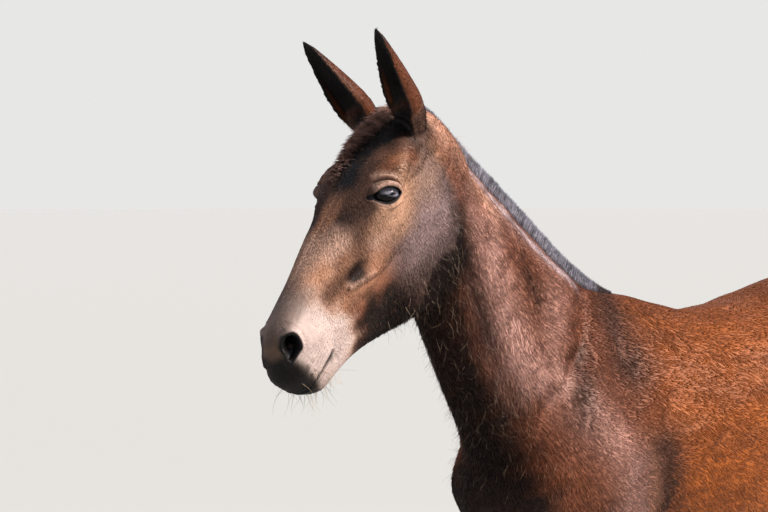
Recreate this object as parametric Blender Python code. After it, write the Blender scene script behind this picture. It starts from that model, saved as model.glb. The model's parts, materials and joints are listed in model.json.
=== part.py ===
"""A still, life-size mule that stands square with its head up and its ears pricked.

+X is the way it faces, +Y is its left and +Z is up, with the floor at z = 0. The lines of the body
are drawn with x = 0 under the withers. At the end the whole animal moves along the floor, so that
the origin is under the middle of its box. The flesh is one rounded body, parted with thin cuts.
"""

import math
import random

import bmesh
import bpy
import numpy as np
from mathutils import Matrix, Vector
from mathutils.bvhtree import BVHTree

GAP = 0.0003  # between two pieces that touch
SIDES = (("left", 1), ("right", -1))

# The trunk from breast to buttock. Each row is a slice: how far ahead of the withers it is, the
# heights of the back and the belly, half the width, the height of the widest place, and how full
# the upper half is (2 is round, less is roof-shaped).
TRUNK = (
    (0.372, 1.080, 0.935, 0.065, 1.000, 2.0),
    (0.330, 1.200, 0.885, 0.130, 1.000, 2.0),
    (0.250, 1.320, 0.848, 0.162, 1.005, 1.7),
    (0.120, 1.410, 0.815, 0.180, 1.020, 1.45),
    (0.000, 1.440, 0.798, 0.194, 1.040, 1.35),
    (-0.120, 1.416, 0.786, 0.215, 1.060, 1.5),
    (-0.260, 1.381, 0.780, 0.238, 1.075, 1.8),
    (-0.420, 1.392, 0.795, 0.246, 1.090, 2.0),
    (-0.560, 1.426, 0.842, 0.238, 1.120, 2.0),
    (-0.680, 1.452, 0.912, 0.226, 1.170, 1.9),
    (-0.800, 1.448, 0.980, 0.218, 1.190, 1.9),
    (-0.920, 1.402, 1.040, 0.190, 1.190, 1.9),
    (-1.010, 1.330, 1.080, 0.140, 1.180, 2.0),
    (-1.060, 1.262, 1.120, 0.070, 1.180, 2.0),
)
TRUNK_BELOW = 2.2  # how full the lower half of the trunk is

# The neck from the shoulders to the poll. Each row is a slice across it: the crest (x, z), the
# throat side (x, z), half the width, and how far up from the throat side it is widest.
NECK = (
    (-0.030, 1.400, 0.320, 0.930, 0.150, 0.42),
    (0.050, 1.446, 0.374, 1.020, 0.136, 0.42),
    (0.130, 1.490, 0.410, 1.105, 0.114, 0.42),
    (0.275, 1.602, 0.474, 1.218, 0.091, 0.42),
    (0.390, 1.686, 0.536, 1.325, 0.080, 0.44),
    (0.490, 1.755, 0.590, 1.425, 0.076, 0.46),
    (0.570, 1.800, 0.632, 1.500, 0.072, 0.48),
    (0.640, 1.798, 0.660, 1.580, 0.060, 0.50),
)
NECK_ABOVE, NECK_BELOW = 1.55, 2.1  # how full the crest side and the throat side are

# The head's own frame starts on top of the poll: x along the nose line, y left, z out of the face.
POLL = Vector((0.621, 0.0, 1.819))
NOSE_DOWN = math.radians(46.5)
HEAD_TURN = math.radians(2)  # to its left
HEAD_TILT = math.radians(3)  # its left eye the higher
HEAD = (
    Matrix.Translation(POLL)
    @ Matrix.Rotation(HEAD_TURN, 4, "Z")
    @ Matrix.Rotation(HEAD_TILT, 4, "X")
    @ Matrix.Rotation(NOSE_DOWN, 4, "Y")
)

# The long lines of the head at twelve slices: how far each slice is from the poll, then the points
# of each line there, as (out from the middle, above the nose line).
HEAD_SLICES = (-0.03, 0.05, 0.12, 0.19, 0.26, 0.33, 0.41, 0.485, 0.55, 0.602, 0.638, 0.660)
NOSE_LINE = (-0.018, 0.020, 0.033, 0.034, 0.026, 0.018, 0.012, 0.004, -0.005, -0.020, -0.046, -0.088)
BRIDGE_EDGE = (
    (0.032, -0.024), (0.044, 0.014), (0.060, 0.025), (0.076, 0.021), (0.068, 0.012), (0.050, 0.008),
    (0.037, 0.003), (0.029, -0.005), (0.028, -0.013), (0.030, -0.028), (0.028, -0.053), (0.016, -0.092),
)
BROW_LINE = (
    (0.054, -0.050), (0.072, -0.020), (0.092, -0.008), (0.110, -0.006), (0.099, -0.020), (0.076, -0.028),
    (0.057, -0.030), (0.046, -0.033), (0.045, -0.040), (0.046, -0.050), (0.041, -0.070), (0.023, -0.100),
)
CREST_LINE = (
    (0.062, -0.090), (0.077, -0.078), (0.089, -0.066), (0.093, -0.064), (0.090, -0.088), (0.077, -0.094),
    (0.062, -0.088), (0.053, -0.079), (0.053, -0.076), (0.053, -0.082), (0.046, -0.093), (0.025, -0.110),
)
CHEEK_LINE = (
    (0.060, -0.140), (0.074, -0.142), (0.084, -0.156), (0.088, -0.172), (0.082, -0.178), (0.069, -0.170),
    (0.059, -0.150), (0.053, -0.132), (0.050, -0.126), (0.047, -0.127), (0.041, -0.126), (0.025, -0.119),
)
JAW_EDGE = (
    (0.045, -0.190), (0.055, -0.220), (0.060, -0.252), (0.060, -0.280), (0.056, -0.289), (0.050, -0.275),
    (0.042, -0.240), (0.035, -0.208), (0.033, -0.190), (0.031, -0.180), (0.029, -0.162), (0.018, -0.132),
)
THROAT_LINE = (-0.200, -0.225, -0.246, -0.264, -0.273, -0.262, -0.236, -0.207, -0.197, -0.192, -0.174, -0.138)

# The eye, in the head's frame, and its lids
EYE_CENTRE = Vector((0.230, 0.0800, -0.024))
EYE_RADIUS = 0.0290
LID_THICK = 0.0050
EYE_FORWARD, EYE_UP = math.radians(24), math.radians(12)  # which way it looks, from straight sideways
LID_SLANT = math.radians(36)  # the inner corner above the outer one, against the nose line
LID_HALF_LENGTH, LID_HALF_HEIGHT = 0.0275, 0.0175
UPPER_LID, LOWER_LID, LID_CORNER = 0.0060, 0.0040, 0.0032  # how thick the rims of the lids are, as a radius
LID_STAND = 0.0052  # how far the middle of the rims stands off the eyeball

# The mouth and the nostrils, in the head's frame
MOUTH_CORNER_X, MOUTH_Z, MOUTH_SLIT = 0.546, -0.142, 0.0026
NOSTRIL = Vector((0.617, 0.044, -0.059))
NOSTRIL_HALF_LENGTH, NOSTRIL_HALF_WIDTH = 0.0290, 0.0185

# An ear: its length, the middle of its root in the head's frame, and how it stands
EAR_LENGTH = 0.248
EAR_ROOT = Vector((0.052, 0.060, -0.006))
EAR_LEAN = {"left": math.radians(36), "right": math.radians(41)}  # forward of straight up
EAR_SPREAD = math.radians(9)  # the tips outward
EAR_OPEN = {"left": math.radians(-8), "right": math.radians(8)}  # the openings, outward of straight ahead
EAR_WIDTH = ((-0.1, 0.016), (0, 0.028), (0.12, 0.041), (0.32, 0.049), (0.55, 0.041), (0.78, 0.027), (0.93, 0.016), (1, 0.005))
EAR_DEPTH = ((-0.1, 0.020), (0, 0.034), (0.2, 0.043), (0.5, 0.036), (0.8, 0.020), (0.93, 0.011), (1, 0.004))
EAR_HOLLOW = ((-0.1, 0.08), (0, 0.08), (0.10, 0.10), (0.24, 0.80), (0.5, 0.86), (0.9, 0.80), (1, 0.2))
EAR_WALL, EAR_BEND = 0.0052, -0.004

# Legs, top to bottom: x, z, half the depth from front to back, half the width, and how far out
FORELEG = (
    (0.165, 1.240, 0.085, 0.045, 0.098), (0.145, 1.130, 0.128, 0.068, 0.112), (0.130, 1.020, 0.158, 0.078, 0.122),
    (0.108, 0.930, 0.140, 0.070, 0.130), (0.092, 0.850, 0.105, 0.058, 0.134), (0.090, 0.750, 0.078, 0.052, 0.131),
    (0.094, 0.640, 0.061, 0.044, 0.126), (0.099, 0.550, 0.050, 0.040, 0.121), (0.104, 0.492, 0.047, 0.044, 0.119),
    (0.108, 0.445, 0.050, 0.046, 0.118), (0.103, 0.400, 0.042, 0.040, 0.117), (0.096, 0.345, 0.034, 0.027, 0.116),
    (0.094, 0.275, 0.034, 0.026, 0.116), (0.094, 0.228, 0.042, 0.032, 0.116), (0.092, 0.200, 0.044, 0.033, 0.116),
    (0.116, 0.152, 0.032, 0.030, 0.116), (0.142, 0.108, 0.041, 0.039, 0.116), (0.158, 0.075, 0.050, 0.047, 0.116),
    (0.163, 0.020, 0.050, 0.047, 0.116),
)
HINDLEG = (
    (-0.830, 1.340, 0.150, 0.060, 0.105), (-0.830, 1.260, 0.205, 0.096, 0.116), (-0.822, 1.160, 0.228, 0.106, 0.122),
    (-0.805, 1.040, 0.205, 0.094, 0.130), (-0.785, 0.940, 0.156, 0.076, 0.136), (-0.802, 0.840, 0.112, 0.060, 0.133),
    (-0.856, 0.740, 0.078, 0.047, 0.127), (-0.922, 0.655, 0.058, 0.038, 0.121), (-0.984, 0.590, 0.064, 0.038, 0.118),
    (-0.988, 0.535, 0.060, 0.041, 0.117), (-0.979, 0.480, 0.048, 0.037, 0.116), (-0.972, 0.420, 0.039, 0.028, 0.115),
    (-0.970, 0.340, 0.036, 0.026, 0.115), (-0.967, 0.275, 0.036, 0.026, 0.115), (-0.962, 0.238, 0.043, 0.032, 0.115),
    (-0.962, 0.210, 0.044, 0.033, 0.115), (-0.936, 0.158, 0.032, 0.030, 0.115), (-0.908, 0.110, 0.041, 0.039, 0.115),
    (-0.893, 0.075, 0.048, 0.045, 0.115), (-0.888, 0.020, 0.048, 0.045, 0.115),
)

# A hoof: half the length and half the width on the floor, the height of its top at the toe and
# at the heel, and how far the middle of the top lies behind the middle of the sole
FORE_HOOF = (0.065, 0.056, 0.084, 0.038, 0.018)
HIND_HOOF = (0.062, 0.052, 0.082, 0.036, 0.018)
FORE_SOLE_X, HIND_SOLE_X = 0.180, -0.872

# Where the flesh is parted
NECK_CUT = (Vector((0.055, 0, 1.452)), Vector((0.392, 0, 1.045)))  # withers to breast
FORELEG_CUT_Z, HINDLEG_CUT_Z = 0.785, 0.872
LEG_SPAN = {"fore": (-0.20, 0.33), "hind": (-1.20, -0.585)}  # the stretch of x that a leg is cut in

# The tail's middle line and the half sizes of its whole outline: x, z, half the depth, half the width
TAIL = (
    (-0.930, 1.322, 0.034, 0.036), (-1.020, 1.312, 0.034, 0.036), (-1.085, 1.262, 0.032, 0.034),
    (-1.120, 1.160, 0.034, 0.038), (-1.136, 1.030, 0.040, 0.048), (-1.143, 0.880, 0.043, 0.056),
    (-1.146, 0.720, 0.039, 0.051), (-1.146, 0.580, 0.028, 0.037), (-1.144, 0.450, 0.010, 0.013),
)
TAIL_CORE_END, TAIL_CORE_SHARE = 0.50, 0.62  # how far down the core runs, and how thick it is there
TAIL_LOCKS, TAIL_LOCK_HALF_WIDTH, TAIL_LOCK_HALF_THICK = 17, 0.025, 0.0090

# The clipped mane: its height over the crest, half the width of its core, and its upright locks
MANE_HEIGHT, MANE_CORE_HALF_WIDTH, MANE_CORE_SHARE, MANE_ROOT = 0.029, 0.015, 0.40, 0.012
MANE_LOCKS, MANE_LOCK_HALF_WIDTH, MANE_LOCK_HALF_THICK = 20, 0.0235, 0.0050  # locks in each of its two rows
MANE_LEAN = math.radians(10)  # away from straight up, to the lock's own side

# The forelock, clipped short: how far it lies down the forehead, and its locks
FORELOCK_REACH, FORELOCK_LOCKS = 0.062, 7
FORELOCK_HALF_WIDTH, FORELOCK_HALF_THICK = 0.0125, 0.0044

# How finely the flesh is rounded, and how many triangles each piece keeps
BODY_GRAIN, BODY_ROUNDING = 0.0075, 60
HEAD_GRAIN, HEAD_ROUNDING = 0.0042, 30
HEAD_SHARE = HEAD_ROUNDING * HEAD_GRAIN**2 / (BODY_ROUNDING * BODY_GRAIN**2)  # so both meet alike at the cut
TRIANGLES = {"torso": 1650, "neck": 850, "head": 2480, "foreleg": 460, "hindleg": 510}

COAT = ("coat", (0.20, 0.075, 0.035), 0.62)
LEG_COAT = ("leg_coat", (0.045, 0.026, 0.020), 0.66)
HORN = ("horn", (0.075, 0.066, 0.058), 0.5)
EYE = ("eye", (0.012, 0.009, 0.008), 0.08)
MANE_HAIR = ("mane_hair", (0.030, 0.028, 0.030), 0.6)
TAIL_HAIR = ("tail_hair", (0.022, 0.018, 0.016), 0.6)


def clear_scene():
    for obj in list(bpy.data.objects):
        bpy.data.objects.remove(obj)


def material(name, colour, roughness):
    """The named finish, made the first time it is asked for."""
    found = bpy.data.materials.get(name)
    if found:
        return found
    made = bpy.data.materials.new(name)
    made.use_nodes = True
    shader = made.node_tree.nodes["Principled BSDF"]
    shader.inputs["Base Color"].default_value = (*colour, 1)
    shader.inputs["Roughness"].default_value = roughness
    shader.inputs["Metallic"].default_value = 0.0
    return made


def smooth_line(places, values, at):
    """Values of a smooth curve through (place, value) pairs, read at the places asked for."""
    t, v, at = np.array(places, float), np.array(values, float), np.array(at, float)
    v = v.reshape(len(t), -1)
    order = np.argsort(t)
    t, v = t[order], v[order]
    slope = np.gradient(v, t, axis=0)
    k = np.clip(np.searchsorted(t, at) - 1, 0, len(t) - 2)
    step = (t[k + 1] - t[k])[:, None]
    s = (at - t[k])[:, None] / step
    return (
        v[k] * (2 * s**3 - 3 * s**2 + 1)
        + v[k + 1] * (3 * s**2 - 2 * s**3)
        + slope[k] * step * (s**3 - 2 * s**2 + s)
        + slope[k + 1] * step * (s**3 - s**2)
    )


def along(rows, count):
    """Rows of a table read at evenly spaced steps between its first and its last row."""
    rows = np.array(rows, float)
    return smooth_line(range(len(rows)), rows, np.linspace(0, len(rows) - 1, count))


def loft(mesh, rings):
    """A closed skin over rings of points, each ring as long as the last, with both ends capped."""
    loops = [[mesh.verts.new(p) for p in ring] for ring in rings]
    count = len(loops[0])
    for a, b in zip(loops, loops[1:]):
        for i in range(count):
            j = (i + 1) % count
            mesh.faces.new((a[i], a[j], b[j], b[i]))
    mesh.faces.new(loops[0][::-1])
    mesh.faces.new(loops[-1])


def bulge(mesh, centre, radii, turn=(0, 0, 0), frame=Matrix.Identity(4), both=True):
    """A muscle, bone end or fold as a stretched ball, mirrored to the right side unless both is off."""
    for side in (1, -1) if both else (1,):
        flip = Matrix.Scale(side, 4, (0, 1, 0))
        spin = Matrix.LocRotScale(None, None, None)
        for axis, angle in zip("XYZ", turn):
            spin = Matrix.Rotation(math.radians(angle), 4, axis) @ spin
        place = frame @ flip @ Matrix.Translation(centre) @ spin @ Matrix.Diagonal((*radii, 1))
        bmesh.ops.create_icosphere(mesh, subdivisions=3, radius=1, matrix=place)


def superellipse(count, half_width, above, below, full_above, full_below):
    """(across, up) points round a section whose upper and lower halves have their own height and fullness."""
    points = []
    for t in np.linspace(0, 2 * math.pi, count, endpoint=False):
        c, s = math.cos(t), math.sin(t)
        power = 2 / (full_above if s > 0 else full_below)
        reach = above if s > 0 else below
        points.append((
            half_width * math.copysign(abs(c) ** power, c),
            reach * math.copysign(abs(s) ** power, s),
        ))
    return points


def make_object(name, mesh_or_bmesh, finish=None):
    """An object of its own in the scene, from a mesh or a bmesh."""
    if isinstance(mesh_or_bmesh, bmesh.types.BMesh):
        bmesh.ops.recalc_face_normals(mesh_or_bmesh, faces=mesh_or_bmesh.faces)
        mesh = bpy.data.meshes.new(name)
        mesh_or_bmesh.to_mesh(mesh)
        mesh_or_bmesh.free()
    else:
        mesh = mesh_or_bmesh
        mesh.name = name
    obj = bpy.data.objects.new(name, mesh)
    bpy.context.scene.collection.objects.link(obj)
    if finish:
        mesh.materials.clear()
        mesh.materials.append(material(*finish))
    return obj


def settled(obj):
    """The object with its modifiers made part of its mesh."""
    bpy.context.view_layer.update()
    shape = bpy.data.meshes.new_from_object(obj.evaluated_get(bpy.context.evaluated_depsgraph_get()))
    obj.modifiers.clear()
    obj.data = shape
    return obj


def rounded(obj, grain, rounding, where):
    """Overlapping closed shapes fused into one skin on a grid of that grain, with the creases eased.

    rounding is how many times it is eased, in full where where(point) is 1 and not at all where 0.
    """
    remesh = obj.modifiers.new("fuse", "REMESH")
    remesh.mode = "VOXEL"
    remesh.voxel_size = grain
    settled(obj)
    group = obj.vertex_groups.new(name="eased")
    for v in obj.data.vertices:
        group.add([v.index], where(v.co), "REPLACE")
    smooth = obj.modifiers.new("ease", "SMOOTH")
    smooth.factor = 0.5
    smooth.iterations = rounding
    smooth.vertex_group = "eased"
    settled(obj)
    obj.vertex_groups.clear()
    return obj


def thinned(obj, triangles, keep_fine=None):
    """The object with about that many triangles, kept finer where keep_fine says so, from 0 to 1."""
    decimate = obj.modifiers.new("thin", "DECIMATE")
    obj.data.calc_loop_triangles()
    decimate.ratio = min(1.0, triangles / max(1, len(obj.data.loop_triangles)))
    decimate.use_collapse_triangulate = True
    if keep_fine:
        group = obj.vertex_groups.new(name="fine")
        for v in obj.data.vertices:
            group.add([v.index], 1 - keep_fine(v.co), "REPLACE")
        decimate.vertex_group = "fine"
        decimate.vertex_group_factor = 0.0001
    settled(obj)
    obj.vertex_groups.clear()
    soften = obj.modifiers.new("soften", "SMOOTH")
    soften.factor = 0.3
    soften.iterations = 2
    settled(obj)
    return obj


def boolean(obj, cutter, operation):
    """The object after one Boolean with a cutter, which is then removed."""
    modifier = obj.modifiers.new(operation.lower(), "BOOLEAN")
    modifier.operation = operation
    modifier.solver = "EXACT"
    modifier.object = cutter
    settled(obj)
    bpy.data.objects.remove(cutter)
    return obj


def copy_of(obj, name):
    return make_object(name, obj.data.copy())


def grown(obj, name, by):
    """A copy of a closed object whose skin lies that much further out."""
    made = copy_of(obj, name)
    swell = made.modifiers.new("swell", "DISPLACE")
    swell.mid_level = 0.0
    swell.strength = by
    return settled(made)


def keep_largest(obj):
    """The object's largest closed surface alone."""
    mesh = bmesh.new()
    mesh.from_mesh(obj.data)
    bmesh.ops.triangulate(mesh, faces=mesh.faces)
    left, parts = set(mesh.verts), []
    while left:
        part, front = set(), [next(iter(left))]
        while front:
            v = front.pop()
            if v in part:
                continue
            part.add(v)
            front += [e.other_vert(v) for e in v.link_edges if e.other_vert(v) not in part]
        parts.append(part)
        left -= part

    def volume(part):
        faces = {f for v in part for f in v.link_faces}
        return abs(sum(f.verts[0].co.dot(f.verts[1].co.cross(f.verts[2].co)) for f in faces))

    keep = max(parts, key=volume)
    bmesh.ops.delete(mesh, geom=[v for v in mesh.verts if v not in keep], context="VERTS")
    bmesh.ops.dissolve_degenerate(mesh, dist=1e-6, edges=mesh.edges)
    bmesh.ops.triangulate(mesh, faces=mesh.faces)
    mesh.to_mesh(obj.data)
    mesh.free()
    return obj


def slab(name, low, high):
    """A plain box between two corners, as a cutter."""
    mesh = bmesh.new()
    bmesh.ops.create_cube(mesh, size=1.0)
    low, high = Vector(low), Vector(high)
    for v in mesh.verts:
        v.co = (low + high) / 2 + Vector(a * b for a, b in zip(v.co, high - low))
    return make_object(name, mesh)


def prism(name, outline, reach, frame=Matrix.Identity(4)):
    """A cutter with an outline in the x-z plane of its frame, reaching that far to both sides."""
    mesh = bmesh.new()
    loft(mesh, [[frame @ Vector((x, y, z)) for x, z in outline] for y in (-reach, reach)])
    return make_object(name, mesh)


def add_trunk(mesh):
    rings = []
    for x, back, belly, half, widest, full in along(TRUNK, 40):
        section = superellipse(40, half, back - widest, widest - belly, full, TRUNK_BELOW)
        rings.append([(x, y, widest + z) for y, z in section])
    loft(mesh, rings)


def neck_slices(count):
    """The neck's slices: (crest, throat, half width, height share of the widest place)."""
    for cx, cz, tx, tz, half, share in along(NECK, count):
        yield Vector((cx, 0, cz)), Vector((tx, 0, tz)), half, share


def add_neck(mesh):
    rings = []
    for crest, throat, half, share in neck_slices(26):
        up = crest - throat
        middle = throat + up * share
        reach = up.length
        section = superellipse(36, half, reach * (1 - share), reach * share, NECK_ABOVE, NECK_BELOW)
        rings.append([middle + Vector((0, y, 0)) + up.normalized() * z for y, z in section])
    loft(mesh, rings)


def add_head(mesh):
    """The head as a skin over its long lines, read at close steps and rounded from line to line."""
    at = np.linspace(HEAD_SLICES[0], HEAD_SLICES[-1], 44)
    middle_top = smooth_line(HEAD_SLICES, NOSE_LINE, at)
    middle_low = smooth_line(HEAD_SLICES, THROAT_LINE, at)
    sides = [
        smooth_line(HEAD_SLICES, line, at)
        for line in (BRIDGE_EDGE, BROW_LINE, CREST_LINE, CHEEK_LINE, JAW_EDGE)
    ]
    rings = []
    for i, x in enumerate(at):
        half = [(0.0, middle_top[i][0])] + [tuple(s[i]) for s in sides] + [(0.0, middle_low[i][0])]
        outline = half + [(-y, z) for y, z in half[-2:0:-1]]
        closed = np.array(outline[-3:] + outline + outline[:4])
        steps = np.linalg.norm(np.diff(closed, axis=0), axis=1)
        place = np.concatenate([[0], np.cumsum(np.sqrt(steps))])
        first, last = place[3], place[3 + len(outline)]
        read = np.linspace(first, last, 44, endpoint=False)
        rings.append([HEAD @ Vector((x, y, z)) for y, z in smooth_line(place, closed, read)])
    loft(mesh, rings)


def add_head_forms(mesh):
    """The bones, muscles and lips that stand out of the head."""
    for centre, radii, turn in (
        ((0.202, 0.086, -0.010), (0.062, 0.032, 0.027), (0, 4, -8)),  # brow over the eye
        ((0.120, 0.074, -0.052), (0.085, 0.017, 0.022), (0, 14, 4)),  # cheekbone behind the eye
        ((0.315, 0.069, -0.090), (0.095, 0.014, 0.013), (0, 7, -10)),  # facial crest
        ((0.205, 0.056, -0.175), (0.110, 0.036, 0.095), (0, 8, -4)),  # cheek muscle
        ((0.604, 0.033, -0.060), (0.052, 0.017, 0.027), (0, 44, 0)),  # nostril wing
        ((0.495, 0.032, -0.104), (0.075, 0.024, 0.028), (0, 4, 0)),  # cheek pouch behind the lips
        ((0.052, 0.050, -0.026), (0.034, 0.030, 0.034), (0, 0, 0)),  # base of the ear
    ):
        bulge(mesh, centre, radii, turn, HEAD)
    for centre, radii in (
        ((0.626, 0, -0.108), (0.042, 0.053, 0.038)),  # upper lip
        ((0.588, 0, -0.174), (0.040, 0.032, 0.025)),  # chin
    ):
        bulge(mesh, centre, radii, (0, 0, 0), HEAD, both=False)
    bulge(mesh, EYE_CENTRE, (EYE_RADIUS + LID_THICK, EYE_RADIUS, EYE_RADIUS + LID_THICK), (0, 0, 0), HEAD)


def add_body_forms(mesh):
    """Muscles and bone ends of the trunk and the tops of the legs."""
    for centre, radii, turn in (
        ((0.140, 0.082, 1.120), (0.130, 0.062, 0.215), (0, 30, 0)),  # shoulder blade
        ((0.262, 0.094, 1.000), (0.100, 0.076, 0.115), (0, 0, 0)),  # point of the shoulder
        ((0.020, 0.115, 0.970), (0.115, 0.072, 0.130), (0, -34, 0)),  # triceps
        ((0.300, 0.048, 0.965), (0.070, 0.062, 0.105), (0, 0, 0)),  # breast
        ((-0.665, 0.112, 1.318), (0.120, 0.066, 0.074), (0, 0, 0)),  # point of the hip
        ((-1.010, 0.117, 0.600), (0.034, 0.020, 0.034), (0, 20, 0)),  # point of the hock
    ):
        bulge(mesh, centre, radii, turn)


def add_leg(mesh, rows):
    for side in (1, -1):
        rings = []
        for x, z, depth, width, out in along(rows, 48):
            section = superellipse(20, width, depth, depth, 2.0, 2.0)
            rings.append([(x + d, side * (out + w), z) for w, d in section])
        loft(mesh, rings)


def trunk_share(co):
    """1 on the trunk, falling to a little on the slim parts of the legs and towards the head."""
    p = HEAD.inverted() @ co
    behind_head = max(-0.055 - p.x, -0.29 - p.z)
    return min(1.0, max(0.06, (co.z - 0.62) / 0.34), max(HEAD_SHARE, HEAD_SHARE + behind_head / 0.22))


def whole_flesh():
    mesh = bmesh.new()
    add_trunk(mesh)
    add_neck(mesh)
    add_head(mesh)
    add_head_forms(mesh)
    add_body_forms(mesh)
    add_leg(mesh, FORELEG)
    add_leg(mesh, HINDLEG)
    return rounded(make_object("flesh", mesh), BODY_GRAIN, BODY_ROUNDING, trunk_share)


def head_share(co):
    """1 over most of the head, falling to a little on the lids, nostrils and lips."""
    return 1 - 0.75 * keep_face_fine(co)


def head_flesh():
    """The head and the top of the neck again, on a finer grid."""
    mesh = bmesh.new()
    add_neck(mesh)
    add_head(mesh)
    add_head_forms(mesh)
    return rounded(make_object("head_flesh", mesh), HEAD_GRAIN, HEAD_ROUNDING, head_share)


def head_wedge(name, back_off):
    """The room that the head takes: ahead of a cut behind the jaw and above one under the throat."""
    outline = (
        (-0.055 - back_off, 0.12),
        (-0.055 - back_off, 0.02),
        (0.048 - back_off, -0.240 - back_off),
        (0.130, -0.276 - back_off),
        (0.210, -0.304 - back_off),
        (0.800, -0.304 - back_off),
        (0.80, 0.12),
    )
    return prism(name, outline, 0.3, HEAD)


def behind_neck_cut(name, shift):
    """A big block behind the cut between neck and trunk, moved forward by shift."""
    top, low = NECK_CUT
    run = (low - top).normalized()
    ahead = Vector((-run.z, 0, run.x))
    top, low = top - run * 0.5 + ahead * shift, low + run * 0.5 + ahead * shift
    outline = [(p.x, p.z) for p in (top, low, low - ahead * 3, top + run * -1.5 - ahead * 3)]
    return prism(name, outline, 0.6)


def leg_room(name, leg, side, spare):
    """The box under a leg's cut, on one side of the body."""
    start, end = LEG_SPAN[leg]
    height = FORELEG_CUT_Z if leg == "fore" else HINDLEG_CUT_Z
    low, high = (start, 0.0, -0.1), (end, 0.4, height - spare)
    if side < 0:
        low, high = (start, -0.4, -0.1), (end, 0.0, height - spare)
    return slab(name, low, high)


def hoof_top(leg, side):
    """The slanting plane between a hoof and its leg: a point on it and its upward normal."""
    length, _, toe, heel, back = FORE_HOOF if leg == "fore" else HIND_HOOF
    sole = FORE_SOLE_X if leg == "fore" else HIND_SOLE_X
    middle = Vector((sole - back, 0, (toe + heel) / 2))
    slope = Vector((2 * length * 0.78, 0, toe - heel)).normalized()
    return middle, Vector((-slope.z, 0, slope.x))


def cut_by_plane(obj, point, normal):
    """What of a closed object lies on the far side of the plane from its normal is removed."""
    mesh = bmesh.new()
    mesh.from_mesh(obj.data)
    geometry = mesh.verts[:] + mesh.edges[:] + mesh.faces[:]
    bmesh.ops.bisect_plane(mesh, geom=geometry, plane_co=point, plane_no=normal, clear_inner=True)
    rim = [e for e in mesh.edges if e.is_boundary]
    bmesh.ops.holes_fill(mesh, edges=rim, sides=0)
    bmesh.ops.triangulate(mesh, faces=mesh.faces)
    bmesh.ops.recalc_face_normals(mesh, faces=mesh.faces)
    mesh.to_mesh(obj.data)
    mesh.free()
    return obj


def make_torso(flesh):
    torso = copy_of(flesh, "torso")
    boolean(torso, behind_neck_cut("behind", 0.012), "INTERSECT")
    keep_largest(torso)
    thinned(torso, TRIANGLES["torso"] + 900)
    for leg in ("fore", "hind"):
        for _, side in SIDES:
            boolean(torso, leg_room("leg_room", leg, side, 0.0), "DIFFERENCE")
    boolean(torso, behind_neck_cut("behind", 0.0), "INTERSECT")
    return finished(torso, COAT)


def make_leg(flesh, leg, name, side):
    piece = copy_of(flesh, f"{leg}leg_{name}")
    boolean(piece, leg_room("room", leg, side, -0.015), "INTERSECT")
    keep_largest(piece)
    thinned(piece, TRIANGLES[f"{leg}leg"])
    boolean(piece, leg_room("room", leg, side, GAP), "INTERSECT")
    point, normal = hoof_top(leg, side)
    cut_by_plane(piece, point + normal * GAP, normal)
    return finished(piece, LEG_COAT)


def make_neck(flesh):
    neck = copy_of(flesh, "neck")
    boolean(neck, behind_neck_cut("behind", -0.012), "DIFFERENCE")
    boolean(neck, head_wedge("wedge", -0.012), "DIFFERENCE")
    keep_largest(neck)
    thinned(neck, TRIANGLES["neck"])
    boolean(neck, behind_neck_cut("behind", GAP), "DIFFERENCE")
    boolean(neck, head_wedge("wedge", GAP), "DIFFERENCE")
    return finished(neck, COAT)


def keep_face_fine(co):
    """Finer triangles round the eyes, nostrils and mouth."""
    p = HEAD.inverted() @ co
    eye = math.hypot(p.x - EYE_CENTRE.x, abs(p.y) - EYE_CENTRE.y, p.z - EYE_CENTRE.z)
    near_eye = max(0.0, 1 - eye / 0.055)
    muzzle = min(1.0, max(0.0, (p.x - 0.52) / 0.05)) * 0.75
    return min(1.0, max(near_eye * 1.2, muzzle))


def eye_frame(side):
    """The eye's own frame in the head: x along the slit of the lids, y out of the eye, z across the slit."""
    look = Vector((math.sin(EYE_FORWARD), math.cos(EYE_FORWARD) * math.cos(EYE_UP), math.sin(EYE_UP))).normalized()
    inner = Vector((math.cos(LID_SLANT), 0, math.sin(LID_SLANT)))
    inner = (inner - look * inner.dot(look)).normalized()
    across = inner.cross(look)
    turn = Matrix((inner, look, across)).transposed().to_4x4()
    return HEAD @ Matrix.Scale(side, 4, (0, 1, 0)) @ Matrix.Translation(EYE_CENTRE) @ turn


def lid_opening(side):
    """The almond between the lids, pulled out along the way that the eye looks."""
    outline = []
    for t in np.linspace(0, 2 * math.pi, 20, endpoint=False):
        c, s = math.cos(t), math.sin(t)
        outline.append((LID_HALF_LENGTH * c, LID_HALF_HEIGHT * math.copysign(abs(s) ** 1.25, s)))
    mesh = bmesh.new()
    frame = eye_frame(side)
    loft(mesh, [[frame @ Vector((x, y, z)) for x, z in outline] for y in (0.006, 0.045)])
    return make_object("lid_opening", mesh)


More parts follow.
